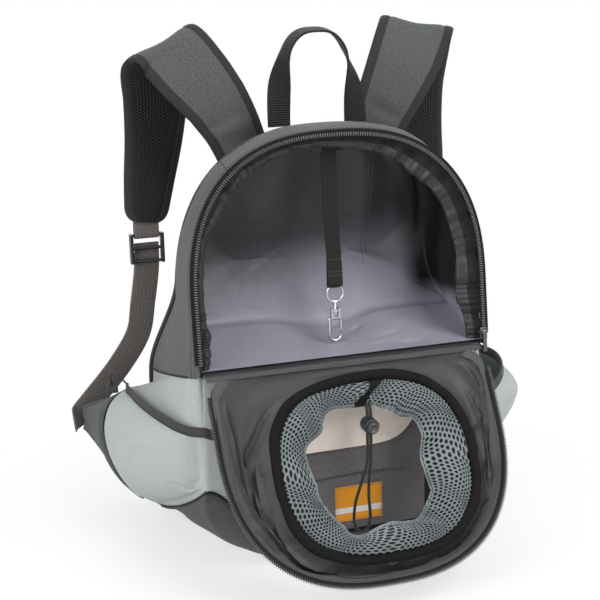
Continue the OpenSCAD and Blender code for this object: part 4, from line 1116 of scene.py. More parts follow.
def front_face():
    """Lower front wall behind the flap, with the flat pocket sewn on it."""
    u, f = spread((120, -1, 1), (70, 0, 1))
    half = FRONT_CORNER_X - 0.6
    low = front_edge_z(np.abs(u) * half / FRONT_CORNER_X) + 1.0
    fold = 0.8 * crumple(u * 130, f * 160, 81, 5, 0.03, 0.08)
    p = points(u * half, -FRONT_WALL + fold, lerp(low, HINGE_Z - 3, f))
    wrapped = (np.abs(u) * half > 104).astype(int)
    wall = Shape().slab(p, 2.0, tag=wrapped)
    wall.piece("lower_front_wall", "bag", [BLACK_CLOTH, LIGHT], "dark_cloth", "lower_front_wall")
    rows = curve(POCKET_PROFILE, 6)
    u, k = spread((130, -1, 1), (len(rows), 0, len(rows) - 1))
    z, out = rows[:, 0][None], rows[:, 1][None] * (1 - np.abs(u) ** 8)
    sag = 2.2 * np.sin(u * 2.6 + 0.8) * np.exp(-((z - 86) / 18) ** 2)
    fold = 0.9 * crumple(u * POCKET_HALF, k * 2, 84, 5, 0.04, 0.1) * (1 - np.abs(u) ** 6)
    p = points(u * POCKET_HALF, -FRONT_WALL - 0.6 - out - fold * smooth(out / 2), z + sag)
    Shape().slab(p[:, ::-1], 1.0).piece("front_pocket", "bag", POCKET_CLOTH, "dark_cloth", "front_pocket")
    u, v = spread((30, -1, 1), (26, -1, 1))
    y = -FRONT_WALL - 4.9 - 0.5 * (1 - u ** 4) * (1 - v ** 4)
    p = points(LABEL_X + LABEL_HALF_W * u, y, LABEL_Z + LABEL_HALF_H * v)
    Shape().slab(p, 0.6).piece("pocket_label", "bag", LABEL, "label", "pocket_label")
    square = np.array([[-1, -1], [1, -1], [1, 1], [-1, 1], [-1, -1]])
    line = points(LABEL_X + (LABEL_HALF_W - 1.6) * square[:, 0], -FRONT_WALL - 5.1,
                  LABEL_Z + (LABEL_HALF_H - 1.6) * square[:, 1])
    rows = Shape()
    for k in range(4):
        stitches(rows, even(line[k:k + 2], 1.0), np.array([0.0, -1.0, 0.0]), 2.2, 1.6, 0.22)
    rows.piece("label_stitches", "bag", GREY_THREAD, "binding")


front_face()


def side_parts(label, side):
    """Light side panel, its full pocket, the bound pocket mouth and the dark wing behind them."""
    q, p = spread((80, 0, 1), (110, 0, 1))
    fold = crumple(p * 170, q * 150, 91 + side, 6, 0.025, 0.08) * smooth(np.minimum(q, 1 - q) / 0.15)
    panel = raised(side_pt(p, q, 0), 1.1 * fold)
    name = "side_panel_" + label
    Shape().slab(on_side(side, panel), 2.0).piece(name, "bag", LIGHT, "light_cloth", name)
    g, f = spread((90, 0, 1), (124, -0.06, 1))
    edge = smooth(np.minimum(f, 1 - f) / 0.12) * smooth((1 - g) / 0.2)
    soft = 1.7 * crumple(f * 160, g * 120, 97 + side, 6, 0.025, 0.075)
    soft = soft + 3.0 * dent(f, g, (0.2, 0.4), (0.1, 0.2)) + 2.0 * dent(f, g, (0.62, 0.25), (0.1, 0.14))
    pinch = 4.5 * bell(f + 0.6 * g - 0.672, 0.03) * smooth((g - 0.74) / 0.16) * smooth((1.01 - g) / 0.05)
    hollow = 2.5 * dent(f, g, (0.02, 0.88), (0.05, 0.09))
    wall = pocket_pt(side, f, g, lerp(0.2, 2.0, smooth(f / 0.06)))
    wall = raised(wall, soft * edge + hollow - pinch)
    name = "side_pocket_" + label
    Shape().slab(on_side(side, wall), 1.2).piece(name, "bag", LIGHT, "light_cloth", name)
    f = np.linspace(-0.06, 1.0, 160)
    wavy = 1.3 * np.sin(f * 24) * bell(f - 0.84, 0.13)
    line = pocket_pt(side, f, np.zeros_like(f), 1) + points(wavy, 0, 4.0 + 0.6 * wavy)
    turn = line[0] + points([-22, -9, -2], -1.4, [-9, -4, -1])
    line = even(curve(np.concatenate([turn, line[4::12]]), 8), 1.6)
    band = rings_along(line, np.broadcast_to(UP, line.shape), round_profile(9.6, 2.6, 14, 0.6))
    Shape().loft(on_side(side, band)).piece("pocket_binding_" + label, "bag", BINDING, "binding",
                                            "pocket_binding_" + label, turn=True)
    rows = Shape()
    stitches(rows, (line + points(1.9, 0, -2.6)) * np.array([side, 1, 1]), np.array([side, -0.2, 0.0]))
    rows.piece("binding_stitches_" + label, "bag", THREAD, "binding")
    corner_strip(label, side)
    trim = Shape()
    t = np.linspace(0, 1, 90)
    high = high_seam(t) + points(0.8, 0, 0)
    back = side_pt(np.ones(90), np.linspace(0.02, 0.98, 90), 0.6) + points(0, -0.4, 0)
    low = low_seam(t) + points(0.8, 0, 0)
    for line in (high, back, low):
        trim.loft(tube(on_side(side, line), 1.0, 8))
    trim.piece("side_piping_" + label, "bag", BLACK_CLOTH, "binding", turn=True)
    build_wing(label, side)


def corner_strip(label, side):
    """Light cloth turned round the front corner, from the side panel onto the front wall."""
    q = np.linspace(0.02, 0.985, 60)
    edge = side_pt(np.zeros(60), q, 0)
    turns = ((-26, -1.2), (-16, -1.4), (-7, -1.4), (-2, -1.2), (0.6, -0.2))
    rows = [edge + points(x, y, 0) for x, y in turns]
    rows += [side_pt(np.full(60, p), q, 0.9) for p in (0.02, 0.045, 0.07)]
    grid = curve(np.array(rows).reshape(len(rows), -1), 4).reshape(-1, 60, 3).transpose(1, 0, 2)
    strip = Shape().slab(on_side(side, grid), 0.8)
    strip.piece("corner_strip_" + label, "bag", LIGHT, "light_cloth", turn=True)


WING_TIP = (88, 126, 92)


def build_wing(label, side):
    """Hip wing: a soft wedge that closes round its tip, lofted through closed rounded sections."""
    q = np.linspace(WING_DROP + 0.02, 0.98, 60)
    a = side_pt(np.ones(60), q, 0) + points(0, 0.3, 0)
    tip = points(WING_SPAN, WING_TIP[0], lerp(WING_TIP[1], WING_TIP[2], q))
    z = lerp(159.0, 24.0, q)
    b = points(back_half(z) + 0.3, back_y(z) + 6, z)
    heel = points(b[:, 0], a[:, 1], (a[:, 2] + b[:, 2]) / 2)
    loop = [a, (a + tip) / 2 + points(2, -6, 0), tip - points(0, 6, 0), tip + points(0, 6, 0),
            (tip + b) / 2 + points(0, 6, 0), b, heel]
    ring = np.array([loop[-1]] + loop + loop[:2]).reshape(len(loop) + 3, -1)
    rings = curve(ring, 12)[12:-24].reshape(-1, 60, 3).transpose(1, 0, 2)
    turn, down = spread((rings.shape[1], 0, 1), (60, 0, 1))
    fold = crumple(turn.T * 240, down.T * 110, 105 + side, 6, 0.025, 0.08)
    rings = raised(rings, 0.8 * fold * smooth(np.minimum(down, 1 - down).T / 0.15), wrap_v=True)
    name = "wing_" + label
    wing = Shape().loft(on_side(side, rings)).piece(name, "bag", DARK, "dark_cloth", name, turn=True)


for label, side in SIDES.items():
    side_parts(label, side)


def side_loop():
    """Thin cord that arches from the tab on the left wing to the end of the pocket's binding."""
    end = pocket_pt(-1, np.array([1.0]), np.array([0.0]), 1)[0] * np.array([-1, 1, 1]) + points(0, 0, 4)
    start = np.array([-192.0, 61.0, 149.0])
    mid = (start + end) / 2 + np.array([-4.0, 2.0, 13.0])
    rise = lerp(start, mid, 0.6) + points(-3, 1, 3)
    fall = lerp(mid, end, 0.4) + points(-2, 0, 3)
    route = curve([start, rise, mid, fall, end], 6)
    cord = Shape().loft(tube(route, 0.9, 10)).piece("side_loop", "bag", CORD_BRAID, "cord", turn=True)


side_loop()


# Flap

FRONT = -unit(flap_pt(0.0, 0.0, 1.0) - flap_pt(0.0, 0.0, 0.0))


def turn_angles(n):
    """Angles once round the flap, in the sense that keeps a sheet's face to the front."""
    return -np.arange(n) * 2 * math.pi / n


def pleats(a, f, seed, counts):
    """Radial folds: ridged waves round the flap, each leaning as it runs from the rim to the window."""
    draw = np.random.default_rng(seed)
    total = 0
    for n in counts:
        phase, lean = draw.uniform(0, 2 * math.pi), draw.uniform(-2.2, 2.2)
        wave = np.sin(n / 2 * a + phase + lean * f + 0.7 * np.sin(3 * a + phase))
        total = total + (1 - np.abs(wave)) ** 1.6 / n ** 0.5
    return total / sum(n ** -0.5 for n in counts)


def band_width(a):
    """Width of the flap's cloth between its rim and the window at angle a."""
    r, w = flap_rim(a, 4.1), oval(a, WINDOW_W, WINDOW_H)
    return np.hypot(r[0] - w[0], r[1] - w[1])


def band_run(a):
    """Share of the way round the flap's free edge, from the left over the bottom to the right."""
    line = np.radians(np.linspace(240, -60, 3000))
    x, t = flap_rim(line, 20)
    run = np.concatenate([[0], np.cumsum(np.hypot(np.diff(x), np.diff(t)))])
    turned = np.mod(a + math.pi / 2, 2 * math.pi) - math.pi / 2
    return np.interp(-turned, -line, run / run[-1])


# Folds of the flap's lining: from and to share of the way round, the same across, height and half width
FLAP_FOLDS = [(0.02, 0.32, 0.2, 0.42, 10.0, 5.0), (0.08, 0.36, 0.1, 0.24, 5.0, 3.0),
              (0.0, 0.12, 0.9, 0.5, 6.0, 4.0), (0.05, 0.24, 0.9, 0.66, 7.0, 5.0),
              (0.16, 0.34, 0.62, 0.44, 7.0, 4.0), (0.2, 0.4, 0.86, 0.7, 6.0, 4.0),
              (0.24, 0.42, 0.34, 0.14, 5.0, 6.0), (0.28, 0.5, 0.8, 0.5, 6.0, 7.0),
              (0.36, 0.5, 0.2, 0.34, 4.5, 5.0), (0.42, 0.58, 0.62, 0.3, 5.0, 7.0),
              (0.5, 0.68, 0.8, 0.58, 4.5, 7.0), (0.54, 0.66, 0.18, 0.32, 5.0, 5.0),
              (0.62, 0.78, 0.3, 0.75, 6.0, 7.0), (0.68, 0.82, 0.12, 0.5, 6.0, 6.0),
              (0.72, 0.9, 0.78, 0.3, 6.0, 7.0), (0.8, 0.98, 0.8, 0.62, 6.0, 7.0),
              (0.84, 1.0, 0.14, 0.34, 6.0, 6.0), (0.76, 0.88, 0.2, 0.1, 4.0, 4.0)]


def flap_cloth():
    """Lining ring with long soft folds that slant along it, and the plain outer cloth behind it."""
    a, f = np.meshgrid(turn_angles(620), np.linspace(0, 1, 56), indexing="ij")
    p = cloth_pt(a, f, 0)
    c, wide = band_run(a), band_width(a)
    fold = 0
    for c0, c1, f0, f1, high, half in FLAP_FOLDS:
        share = np.clip((c - c0) / (c1 - c0), 0, 1)
        line = lerp(f0, f1, share) + 0.04 * np.sin(share * 7 + c0 * 40)
        ends = smooth(share / 0.25) * smooth((1 - share) / 0.25)
        fold = fold + 1.2 * high * ends * np.exp(-np.sqrt(((f - line) * wide) ** 2 + 0.8) / half)
    gather = crumple(c * 560, f * 25, 15, 5, 0.16, 0.4) * bell(f * wide - 14, 8) * smooth((c - 0.12) / 0.1)
    drawn = smooth((c - 0.2) / 0.12) * smooth((0.98 - c) / 0.06)
    fold = fold + 2.4 * gather + 2.8 * pleats(a, f, 61, (17, 27, 40)) * drawn
    fold = fold + 1.0 * crumple(p[..., 0], p[..., 2], 16, 4, 0.05, 0.12)
    low = smooth((np.sin(a) + 0.95) / 0.5)
    free = np.clip((f * wide - 7.5 * low) / (wide - 7.5 * low), 0, 1)
    loose = np.sin(math.pi * free) ** 0.7 * np.clip(wide / 40, 0.35, 1.1)
    p = raised(p, np.maximum(0, fold) * loose * low, wrap_u=True)
    Shape().slab(p, 0.7, wrap_u=True).piece("flap_lining", "flap", FLAP_LINING, "flap_lining", "flap_shell")
    a, f = np.meshgrid(-turn_angles(360), np.linspace(0, 1, 36), indexing="ij")
    p = cloth_pt(a, f, 2.4)
    fold = 0.9 * crumple(p[..., 0], p[..., 2], 18, 5, 0.03, 0.08) * np.sin(math.pi * f)
    outer = Shape().slab(raised(p, fold + 0.4, wrap_u=True), 1.4, wrap_u=True)
    outer.piece("flap_outer", "flap", DARK, "dark_cloth", "flap_shell")


flap_cloth()


def rim_tape():
    """Flat tape sewn along the inside of the flap's zip, its inner edge drawn into small waves."""
    a, w = np.meshgrid(np.radians(np.linspace(233, -53, 560)), np.linspace(0, 1, 10), indexing="ij")
    width = 9.5 + 1.2 * crumple(a * 140, a * 0, 23, 5, 0.04, 0.2)
    p = cloth_pt(a, w * width / band_width(a), 0)
    wave = crumple(a * 140, w * 6, 24, 6, 0.06, 0.35)
    p = raised(p, 1.6 + 2.0 * w ** 1.5 * wave + 0.8 * np.sin(math.pi * w))
    Shape().slab(p, 0.9).piece("flap_rim_tape", "flap", RIM_TAPE, "binding", "flap_shell")
    rows = Shape()
    stitches(rows, p[:, 2], FRONT, 3.0, 2.1, 0.26)
    rows.piece("flap_rim_stitches", "flap", THREAD, "binding")


rim_tape()


def flap_zip():
    """Zip half round the flap's rim, from one side of the hinge to the other."""
    start = np.linspace(-0.14, -0.002, 60) ** 3 / 0.14 ** 2
    a = np.concatenate([start, np.linspace(0, math.radians(192), 700)[1:]])
    path = flap_pt(*flap_rim(a, 1.3), -0.8)
    inner = flap_pt(*flap_rim(a, 3.0), -0.8)
    zip_half("flap_zip", "flap_zip", path, unit(inner - path), np.broadcast_to(FRONT, path.shape), "flap")


flap_zip()


def hinge_tape():
    """Cloth strip over the hinge, from the cabin floor onto the flap's lining."""
    rows = curve([[-106, 204.9], [-110, 204.9], [-113.4, 204.4], [-115.6, 203.2], [-116.8, 201.4],
                  [-117.9, 199.4]], 5)
    u, k = spread((150, -1, 1), (len(rows), 0, len(rows) - 1))
    fold = 0.6 * crumple(u * 138, k * 1.2, 27, 5, 0.05, 0.2)
    p = points(u * 137, rows[:, 0][None] - 0.3 * fold, rows[:, 1][None] + fold * 0.5)
    tape = Shape().slab(p[:, ::-1], 0.9).piece("hinge_tape", None, FLAP_LINING, "flap_lining", turn=True)
    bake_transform(tape)


hinge_tape()


def window_binding():
    """Rolled binding round the window: a flattened ring, drawn in by its gathers."""
    a, b = np.meshgrid(turn_angles(540), np.arange(16) * 2 * math.pi / 16, indexing="ij")
    gather = pleats(a, 0.3 * np.cos(b), 33, (40, 58, 90)) - 0.4
    slow = crumple(a * 90, a * 0, 36, 5, 0.05, 0.25)
    w = WINDOW_W - 3.6 + 1.2 * slow + 5.0 * np.cos(b)
    h = WINDOW_H - 3.6 + 1.2 * slow + 5.0 * np.cos(b)
    p = flap_pt(*oval(a, w, h), 0.4 - (3.6 + 1.7 * gather) * np.sin(b) - 0.8 * slow)
    ring = Shape().grid(p, True, True)
    ring.piece("window_binding", "flap", SOFT_BINDING, "binding", "window_binding", turn=True)


window_binding()

MESH_COLS = 118
MESH_ROWS = 10
HEM_RADIUS = 2.6
MESH_RUN = 44


def mesh_face(a, f, k):
    """Gathered mesh: folds deepen towards the hole, where the sheet rolls back round the drawstring."""
    flat_f = np.clip(f, 0, 1)
    a = a + 0.035 * np.sin(7 * a + 2.5 * f) + 0.02 * np.sin(13 * a + 4 * f + 1.0)
    gather = 9.5 * (pleats(a, f, 52, (9, 14, 21)) - 0.45) * smooth(flat_f * 1.4)
    puff = 5.0 * np.sin(math.pi * flat_f) * np.sin(5 * a + 1.3 * np.sin(2 * a))
    puff = puff - 2.5 * bell(flat_f - 0.15, 0.14) * smooth(np.sin(3 * a + 0.6))
    roll = np.clip((f - 1) * MESH_RUN / HEM_RADIUS, 0, 3.3)
    hole = oval(a, HOLE_W, HOLE_H, HOLE_SHARE)
    middle = np.array([WINDOW_OFF * HOLE_SHARE, WINDOW_MID])
    in_x, in_t = middle[0] - hole[0], middle[1] - hole[1]
    size = np.hypot(in_x, in_t)
    reach = HEM_RADIUS * np.sin(roll) - k * np.sin(roll)
    back = HEM_RADIUS * (1 - np.cos(roll)) + k * (np.cos(roll) - 1)
    p = mesh_pt(a, flat_f, k - gather - puff + back)
    reach = reach + flat_f ** 2 * (3.2 * np.sin(5 * a + 1.0) + 2.2 * np.sin(8 * a + 2.2))
    return p + reach[..., None] * (flap_pt(in_x / size, in_t / size, 0.0) - flap_pt(0.0, 0.0, 0.0))


def air_mesh():
    """Knitted mesh with open six-sided holes: each cell is a flat frame and the wall of its hole."""
    i, j = np.meshgrid(np.arange(MESH_COLS), np.arange(-1, MESH_ROWS + 3), indexing="ij")
    k = np.radians(30 + 60 * np.arange(6))
    around = (i + 0.5 * (j % 2))[..., None]
    along = (j + 0.5)[..., None]

    def ring(share, depth):
        """Corners of every cell at a share of its size."""
        u = around + share * np.cos(k) / 3 ** 0.5
        f = (along + share * np.sin(k) / 1.5) / MESH_ROWS
        return mesh_face(-2 * math.pi * u / MESH_COLS, f, np.full(u.shape, depth))

    sections = [ring(1.0, 0.15), ring(0.84, -0.35), ring(0.7, 0.0), ring(0.66, 1.5)]
    cells = np.stack(sections, 2).reshape(-1, 4, 6, 3)
    n = len(cells)
    m = np.arange(6)
    after = (m + 1) % 6
    quad = np.concatenate([np.stack([r * 6 + m, r * 6 + after, r * 6 + 6 + after, r * 6 + 6 + m], 1)
                           for r in range(3)])
    shape = Shape()
    faces = (quad[None] + (np.arange(n) * 24)[:, None, None]).reshape(-1, 4)
    shape.take(cells, faces, np.zeros((faces.size, 2)), 0)
    shape.piece("window_mesh", "flap", AIR_MESH, "air_mesh", "window_mesh", sharp=60)
    a, f = np.meshgrid(turn_angles(260), np.linspace(-0.05, 1.03, 26), indexing="ij")
    back = mesh_face(a, f, np.full(a.shape, 1.5))
    Shape().slab(back, 0.4, wrap_u=True).piece("mesh_backing", "flap", BLACK_CLOTH, "air_mesh", "window_mesh")


air_mesh()


def mesh_tape():
    """Short dark tape over the mesh's join, from the binding to the hole."""
    a0 = math.radians(274)
    f, w = spread((40, -0.02, 1.05), (9, -1, 1))
    shift = w * 4.4 / 80
    p = mesh_face(a0 - shift, f, np.full(f.shape, -1.0) - 0.4 * (1 - w ** 2))
    Shape().slab(p[:, ::-1], 0.9).piece("mesh_tape", "flap", SOFT_BINDING, "binding", "mesh_tape", turn=True)


mesh_tape()


STORM_HALF = 74


def storm_flap():
    """Pale backed flap hanging behind the hole, cut on the slant, with a few soft creases."""
    u, f = spread((90, -1, 1), (70, 0, 1))
    length = 86 - 34 * np.maximum(0, u) ** 5
    y = -HINGE_FRONT + lerp(1.73, 6.5, np.minimum(1, 2.5 * f))
    crease = 1.6 * crumple(u * STORM_HALF, f * 70, 66, 5, 0.03, 0.09) * smooth(f / 0.3)
    hem = 0.5 * smooth((f - 0.93) / 0.02)
    p = points(STORM_HALF * u, y - crease - 0.4 - hem, HINGE_Z - 3 - f * length)
    cloth = Shape().slab(p[:, ::-1], 1.0).piece("storm_flap", "flap", STORM, "storm", "storm_flap")


storm_flap()

CORD_D = 3.0
CORD_ROUTE = [[10.3, -134.1, 166], [10.3, -136, 162.8], [10.3, -137.6, 158.5], [10.3, -138, 154],
              [10.3, -138, 146], [10.3, -138, 138], [10.3, -138, 130], [10.3, -138, 120],
              [9.5, -138, 108], [6, -138, 96], [2, -138, 84], [-2, -138, 72], [-4, -138, 60],
              [-4, -138, 50], [-1, -138, 42], [4, -138, 39], [9, -138, 42], [12, -138, 50],
              [12, -138, 60], [11, -138, 72], [11, -138, 84], [12, -138, 96], [13.3, -138, 108],
              [13.7, -138, 120], [13.7, -138, 130], [13.7, -138, 138], [13.7, -138, 146],
              [13.7, -138, 154], [13.7, -137.6, 158.5], [13.7, -136, 162.8], [13.7, -134.1, 166]]


def drawstring():
    """Drawstring: one cord out of the hem, through the lock, round a hanging loop and back."""
    route = curve(CORD_ROUTE, 3)
    cord = Shape().loft(tube(route, CORD_D / 2, 12))
    cord = cord.piece("drawstring", "flap", CORD_BRAID, "cord", "drawstring", turn=True)


drawstring()


LOCK_X, LOCK_Z = 12, 146
LOCK_PROFILE = [[5.8, -132.2], [7.0, -132.6], [7.5, -134], [7.5, -138], [7.3, -139], [7.5, -140],
                [7.5, -145], [7.0, -146.6], [6.0, -147]]
BUTTON_PROFILE = [[5.3, -144], [5.4, -148], [5.3, -150], [4.8, -150.8], [4.0, -151], [3.2, -150.6],
                  [2.2, -149.8], [1.0, -149.5]]


def turned(name, profile, finish):
    """A part of the cord lock, turned about the front-to-back axis from radius and place along y."""
    line = curve(profile, 4)
    a = np.arange(40) * 2 * math.pi / 40
    p = points(LOCK_X + line[:, :1] * np.cos(a), line[:, 1:] + 0 * a, LOCK_Z + line[:, :1] * np.sin(a))
    Shape().loft(p).piece(name, name, finish, "black_plastic", name, turn=True)


turned("cord_lock", LOCK_PROFILE, PLASTIC)
turned("lock_button", BUTTON_PROFILE, BUTTON)


# Straps, handle, leash and fittings

STRAP_LINE = [[65, -10.4, 390, 54], [75, -11, 414, 58], [87, -8, 436, 64], [107, 2, 470, 72],
              [127, 20, 500, 74], [135, 39, 480, 72], [135, 47, 440, 66], [138, 51, 400, 60],
              [144, 53, 360, 53], [150, 53, 318, 44]]
STRAP_END = np.array([150.0, 53.0, 318.0])
STRAP_EDGE = 9.0
STRAP_LEAN = {-1: 0.5, 1: 0.18}
STRAP_DROP = {-1: 11.0, 1: 4.0}
STRAP_KNEE = 440.0


def strap_frame(k, side):
    """Middle line, width, way across and way out of the pad; out points to the wearer's side."""
    line = curve(STRAP_LINE, k)
    path, wide = line[:, :3], line[:, 3]
    high = np.maximum(0, path[:, 2] - STRAP_KNEE) / (500 - STRAP_KNEE)
    path[:, 2] -= STRAP_DROP[side] * high
    f = np.linspace(0, 1, len(path))[:, None]
    wide = wide * np.sqrt(1 - 0.55 * np.maximum(0, (f[:, 0] - 0.955) / 0.045) ** 2)
    top = np.array([0.92, -0.15, -STRAP_LEAN[side]])
    first = lerp(np.array([0.87, -0.1, -0.48]), top, f / 0.4)
    then = lerp(top, np.array([0.98, -0.1, 0.05]), smooth((f - 0.4) / 0.3))
    across = np.where(f < 0.4, first, then)
    t = tangents(path)
    u = unit(across - t * np.sum(across * t, -1, keepdims=True))
    return path, wide, f[:, 0], u, np.cross(t, u)


def strap(label, side):
    """Shoulder pad: a crowned closed section with bound edges, twill outside and mesh to the wearer."""
    path, wide, f, u, out = strap_frame(14, side)
    thick = STRAP_T * lerp(0.7, 1, np.minimum(1, 4 * f)) / 2
    inset = np.array([0.0, 0.6, 2.0, 4.5, 7.5, STRAP_EDGE])
    inner = np.linspace(0, 1, 15)[1:-1]
    half = wide[:, None] / 2
    right = half - inset[None, :]
    mid = lerp(half - STRAP_EDGE, -(half - STRAP_EDGE), inner[None, :])
    x = np.concatenate([right, mid, -right[:, ::-1]], 1)
    rise = np.sqrt(np.maximum(0, 1 - np.abs(x / half) ** 5)) * lerp(0.8, 1.0, 1 - np.abs(x / half) ** 2)
    groove = 0.9 * np.exp(-((half - np.abs(x) - STRAP_EDGE) / 1.4) ** 2)
    soft = 0.7 * crumple(f[:, None] * 380, x, 121 + side, 5, 0.04, 0.11)
    foot = bell(f[:, None] - 0.12, 0.1)
    soft = soft + 3.2 * foot * crumple(f[:, None] * 420, x * 0.8, 131 + side, 4, 0.07, 0.16)
    soft = soft * (1 - np.abs(x / half) ** 4)
    high = thick[:, None] * rise - groove + soft
    low = -(thick[:, None] * rise - groove) + 0.6 * soft
    over = path[:, None] + u[:, None] * x[..., None] + out[:, None] * high[..., None]
    under = path[:, None] + u[:, None] * x[..., None] + out[:, None] * low[..., None]
    rings = np.concatenate([over, under[:, ::-1][:, 1:-1]], 1)
    n = x.shape[1]
    tag = np.full(rings.shape[1], 2)
    tag[5:n - 6] = 1
    tag[n + 4:-5] = 0
    tag = np.broadcast_to(tag, rings.shape[:2])
    pad = Shape().loft(on_side(side, rings) if side > 0 else rings * np.array([-1, 1, 1]), tag=tag)
    name = "strap_" + label
    pad = pad.piece(name, None, [STRAP_TWILL, STRAP_MESH, STRAP_EDGING], "dark_cloth", name, turn=True)
    flip = np.array([side, 1, 1])
    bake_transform(pad)
    rows = Shape()
    for column in (4, n - 5):
        stitches(rows, over[4:-4, column] * flip, (out * flip)[4:-4])
        stitches(rows, under[4:-4, column] * flip, (-out * flip)[4:-4])
    seam = rows.piece("strap_stitches_" + label, None, THREAD, "binding")
    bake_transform(seam)
    strap_fittings(label, side)


WEB_PATH = [[150, 56.1, 296], [150, 56.1, 280], [151, 59.1, 262], [154, 68, 232], [158, 82, 196],
            [176, 96, 160], [203, 99, 128], [219, 98, 112], [227, 93, 108], [229, 86, 108]]


def web_frame():
    """Middle line and way across of the adjuster webbing, which turns on edge towards the wing."""
    path = curve(WEB_PATH, 8)
    f = smooth(np.linspace(0, 1, len(path)))[:, None]
    return path, unit(lerp(np.array([1.0, 0, 0]), np.array([0.1, 0, 0.99]), f))


def strap_fittings(label, side):
    """Loop that holds the buckle, the adjuster webbing down to the wing, and its free tail."""
    flip = np.array([side, 1, 1])
    body = "strap_" + label
    bends = [[0, 2.3, 10], [0, 2.4, -4], [0, 2.6, -10], [0, 2.2, -14.6], [0, 0, -16.4],
             [0, -2.2, -14.6], [0, -2.6, -10], [0, -2.4, -4], [0, -2.3, 10]]
    loop = curve(np.array(bends) + STRAP_END, 6)
    across = np.broadcast_to(np.array([1.0, 0, 0]), loop.shape)
    tab = Shape().loft(webbing(loop * flip, across * flip, WEB_W, 1.6))
    tab.piece("strap_tab_" + label, body, GREY_WEBBING, "webbing", "strap_tab_" + label, turn=True)
    path, across = web_frame()
    web = Shape().loft(webbing(path * flip, across * flip, WEB_W, 1.8)).piece(
        "strap_web_" + label, None, GREY_WEBBING, "webbing", "strap_web_" + label, turn=True)
    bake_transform(web)
    off = unit(np.cross(tangents(path), across))
    tail = path[6:30] - off[6:30] * np.linspace(3.2, 2.4, 24)[:, None]
    tail = Shape().loft(webbing(tail * flip, across[6:30] * flip, WEB_W, 1.6)).piece(
        "strap_tail_" + label, None, GREY_WEBBING, "webbing", "strap_web_" + label, turn=True)
    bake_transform(tail)


for label, side in SIDES.items():
    strap(label, side)


def grab_handle():
    """Webbing loop: its feet lie across the bag and it turns on edge over the top."""
    a = np.linspace(math.pi, 0, 140)
    path = points(38 * spow(np.cos(a), 0.7), -42 + 4 * np.sin(a), 416.2 + 88 * spow(np.abs(np.sin(a)), 0.8))
    t = tangents(path)
    y = np.array([0.0, 1.0, 0.0])
    flat = unit(np.cross(t, y))
    turn = np.radians(84 * smooth(np.minimum(1, 1.25 * np.sin(a))))[:, None]
    across = unit(flat * np.cos(turn) + y * np.sin(turn))
    loop = Shape().loft(webbing(path, across, HANDLE_W, 2.4))
    loop.piece("grab_handle", "grab_handle", WEBBING, "webbing", "grab_handle", turn=True)


grab_handle()


def leash():
    """Leash: a long tape, and a shorter sewn-back ply that closes its loop round the ring."""
    z = LEASH_TOP - LEASH_LEN
    bends = [[-4, 0, LEASH_TOP], [-3, 0, 340], [-1, 0, 300], [0, -0.6, 280], [0, -1.6, 270],
             [0, -1.9, z - 1], [0, 0, z - 3.6], [0, 1.9, z - 1], [0, 1.8, 270], [0, 1.7, 280], [0, 1.7, 296]]
    path = curve(np.array(bends) + points(LEASH_X, LEASH_Y, 0), 8)
    across = np.broadcast_to(np.array([1.0, 0, 0]), path.shape)
    tape = Shape().loft(webbing(path, across, LEASH_W, 1.5))
    tape.piece("leash_webbing", "leash", WEBBING, "webbing", "leash_webbing", turn=True)
    rows = Shape()
    for height in (274.0, 278.0, 290.0):
        front = LEASH_Y - (1.9 if height < 285 else 1.2)
        line = points(LEASH_X + np.linspace(-6, 6, 12), front, height)
        stitches(rows, line, np.array([0.0, -1.0, 0.0]), 2.2, 1.7, 0.24)
    rows.piece("leash_stitches", "leash", PALE_THREAD, "webbing")


leash()


def refined(node, body, finish, bevel):
    """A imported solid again, with its edges eased and its curves smooth."""
    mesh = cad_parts[node].data.copy()
    mesh.materials.clear()
    mesh.materials.append(finish.material)
    weld(mesh, False)
    mesh.polygons.foreach_set("material_index", np.zeros(len(mesh.polygons), np.int32))
    mesh.polygons.foreach_set("use_smooth", np.ones(len(mesh.polygons), bool))
    mesh.set_sharp_from_angle(angle=math.radians(35))
    obj = bpy.data.objects.new(node + "_form", mesh)
    bpy.context.scene.collection.objects.link(obj)
    if bevel:
        ease = obj.modifiers.new("ease", "BEVEL")
        ease.width, ease.segments = bevel * MM, 2
        ease.limit_method, ease.angle_limit = "ANGLE", math.radians(40)
        ease.use_clamp_overlap = True
        ease.harden_normals = False
    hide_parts(node)
    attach(obj, body)


for label in SIDES:
    refined("buckle_" + label, "buckle_" + label, PLASTIC, 0.5)
refined("zip_slider", "zip_slider", DARK_METAL, 0.3)
refined("zip_pull", "zip_pull", DARK_METAL, 0.25)
refined("leash_ring", "leash", CHROME, 0)
refined("snap_hook", "snap_hook", CHROME, 0.2)
refined("hook_gate", "hook_gate", CHROME, 0.2)
refined("leash_anchor", "bag", WEBBING, 0.4)
refined("side_tab", "bag", DARK, 0.3)

KEPT = {"back_stiffener": BOARD, "base_board": BOARD}


# Plain materials for the solids that stay

def keep(node, finish):
    """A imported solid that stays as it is, in its own finish."""
    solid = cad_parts[node]
    if not solid.material_slots:
        solid.data.materials.append(finish.material)
    for slot in solid.material_slots:
        slot.material = finish.material


for node, finish in KEPT.items():
    keep(node, finish)


# Stage, light and camera

def lamp(name, at, target, size, power):
    """A square soft lamp that looks at its target, in metres."""
    light = bpy.data.lights.new(name, "AREA")
    light.shape, light.size, light.energy = "SQUARE", size, power
    obj = bpy.data.objects.new(name, light)
    back = unit(np.array(at, float) - np.array(target, float))
    right = unit(np.cross(UP, back))
    pose = np.eye(4)
    pose[:3, :4] = np.stack([right, np.cross(back, right), back, np.array(at, float)], 1)
    obj.matrix_world = Matrix(pose.tolist())
    bpy.context.scene.collection.objects.link(obj)


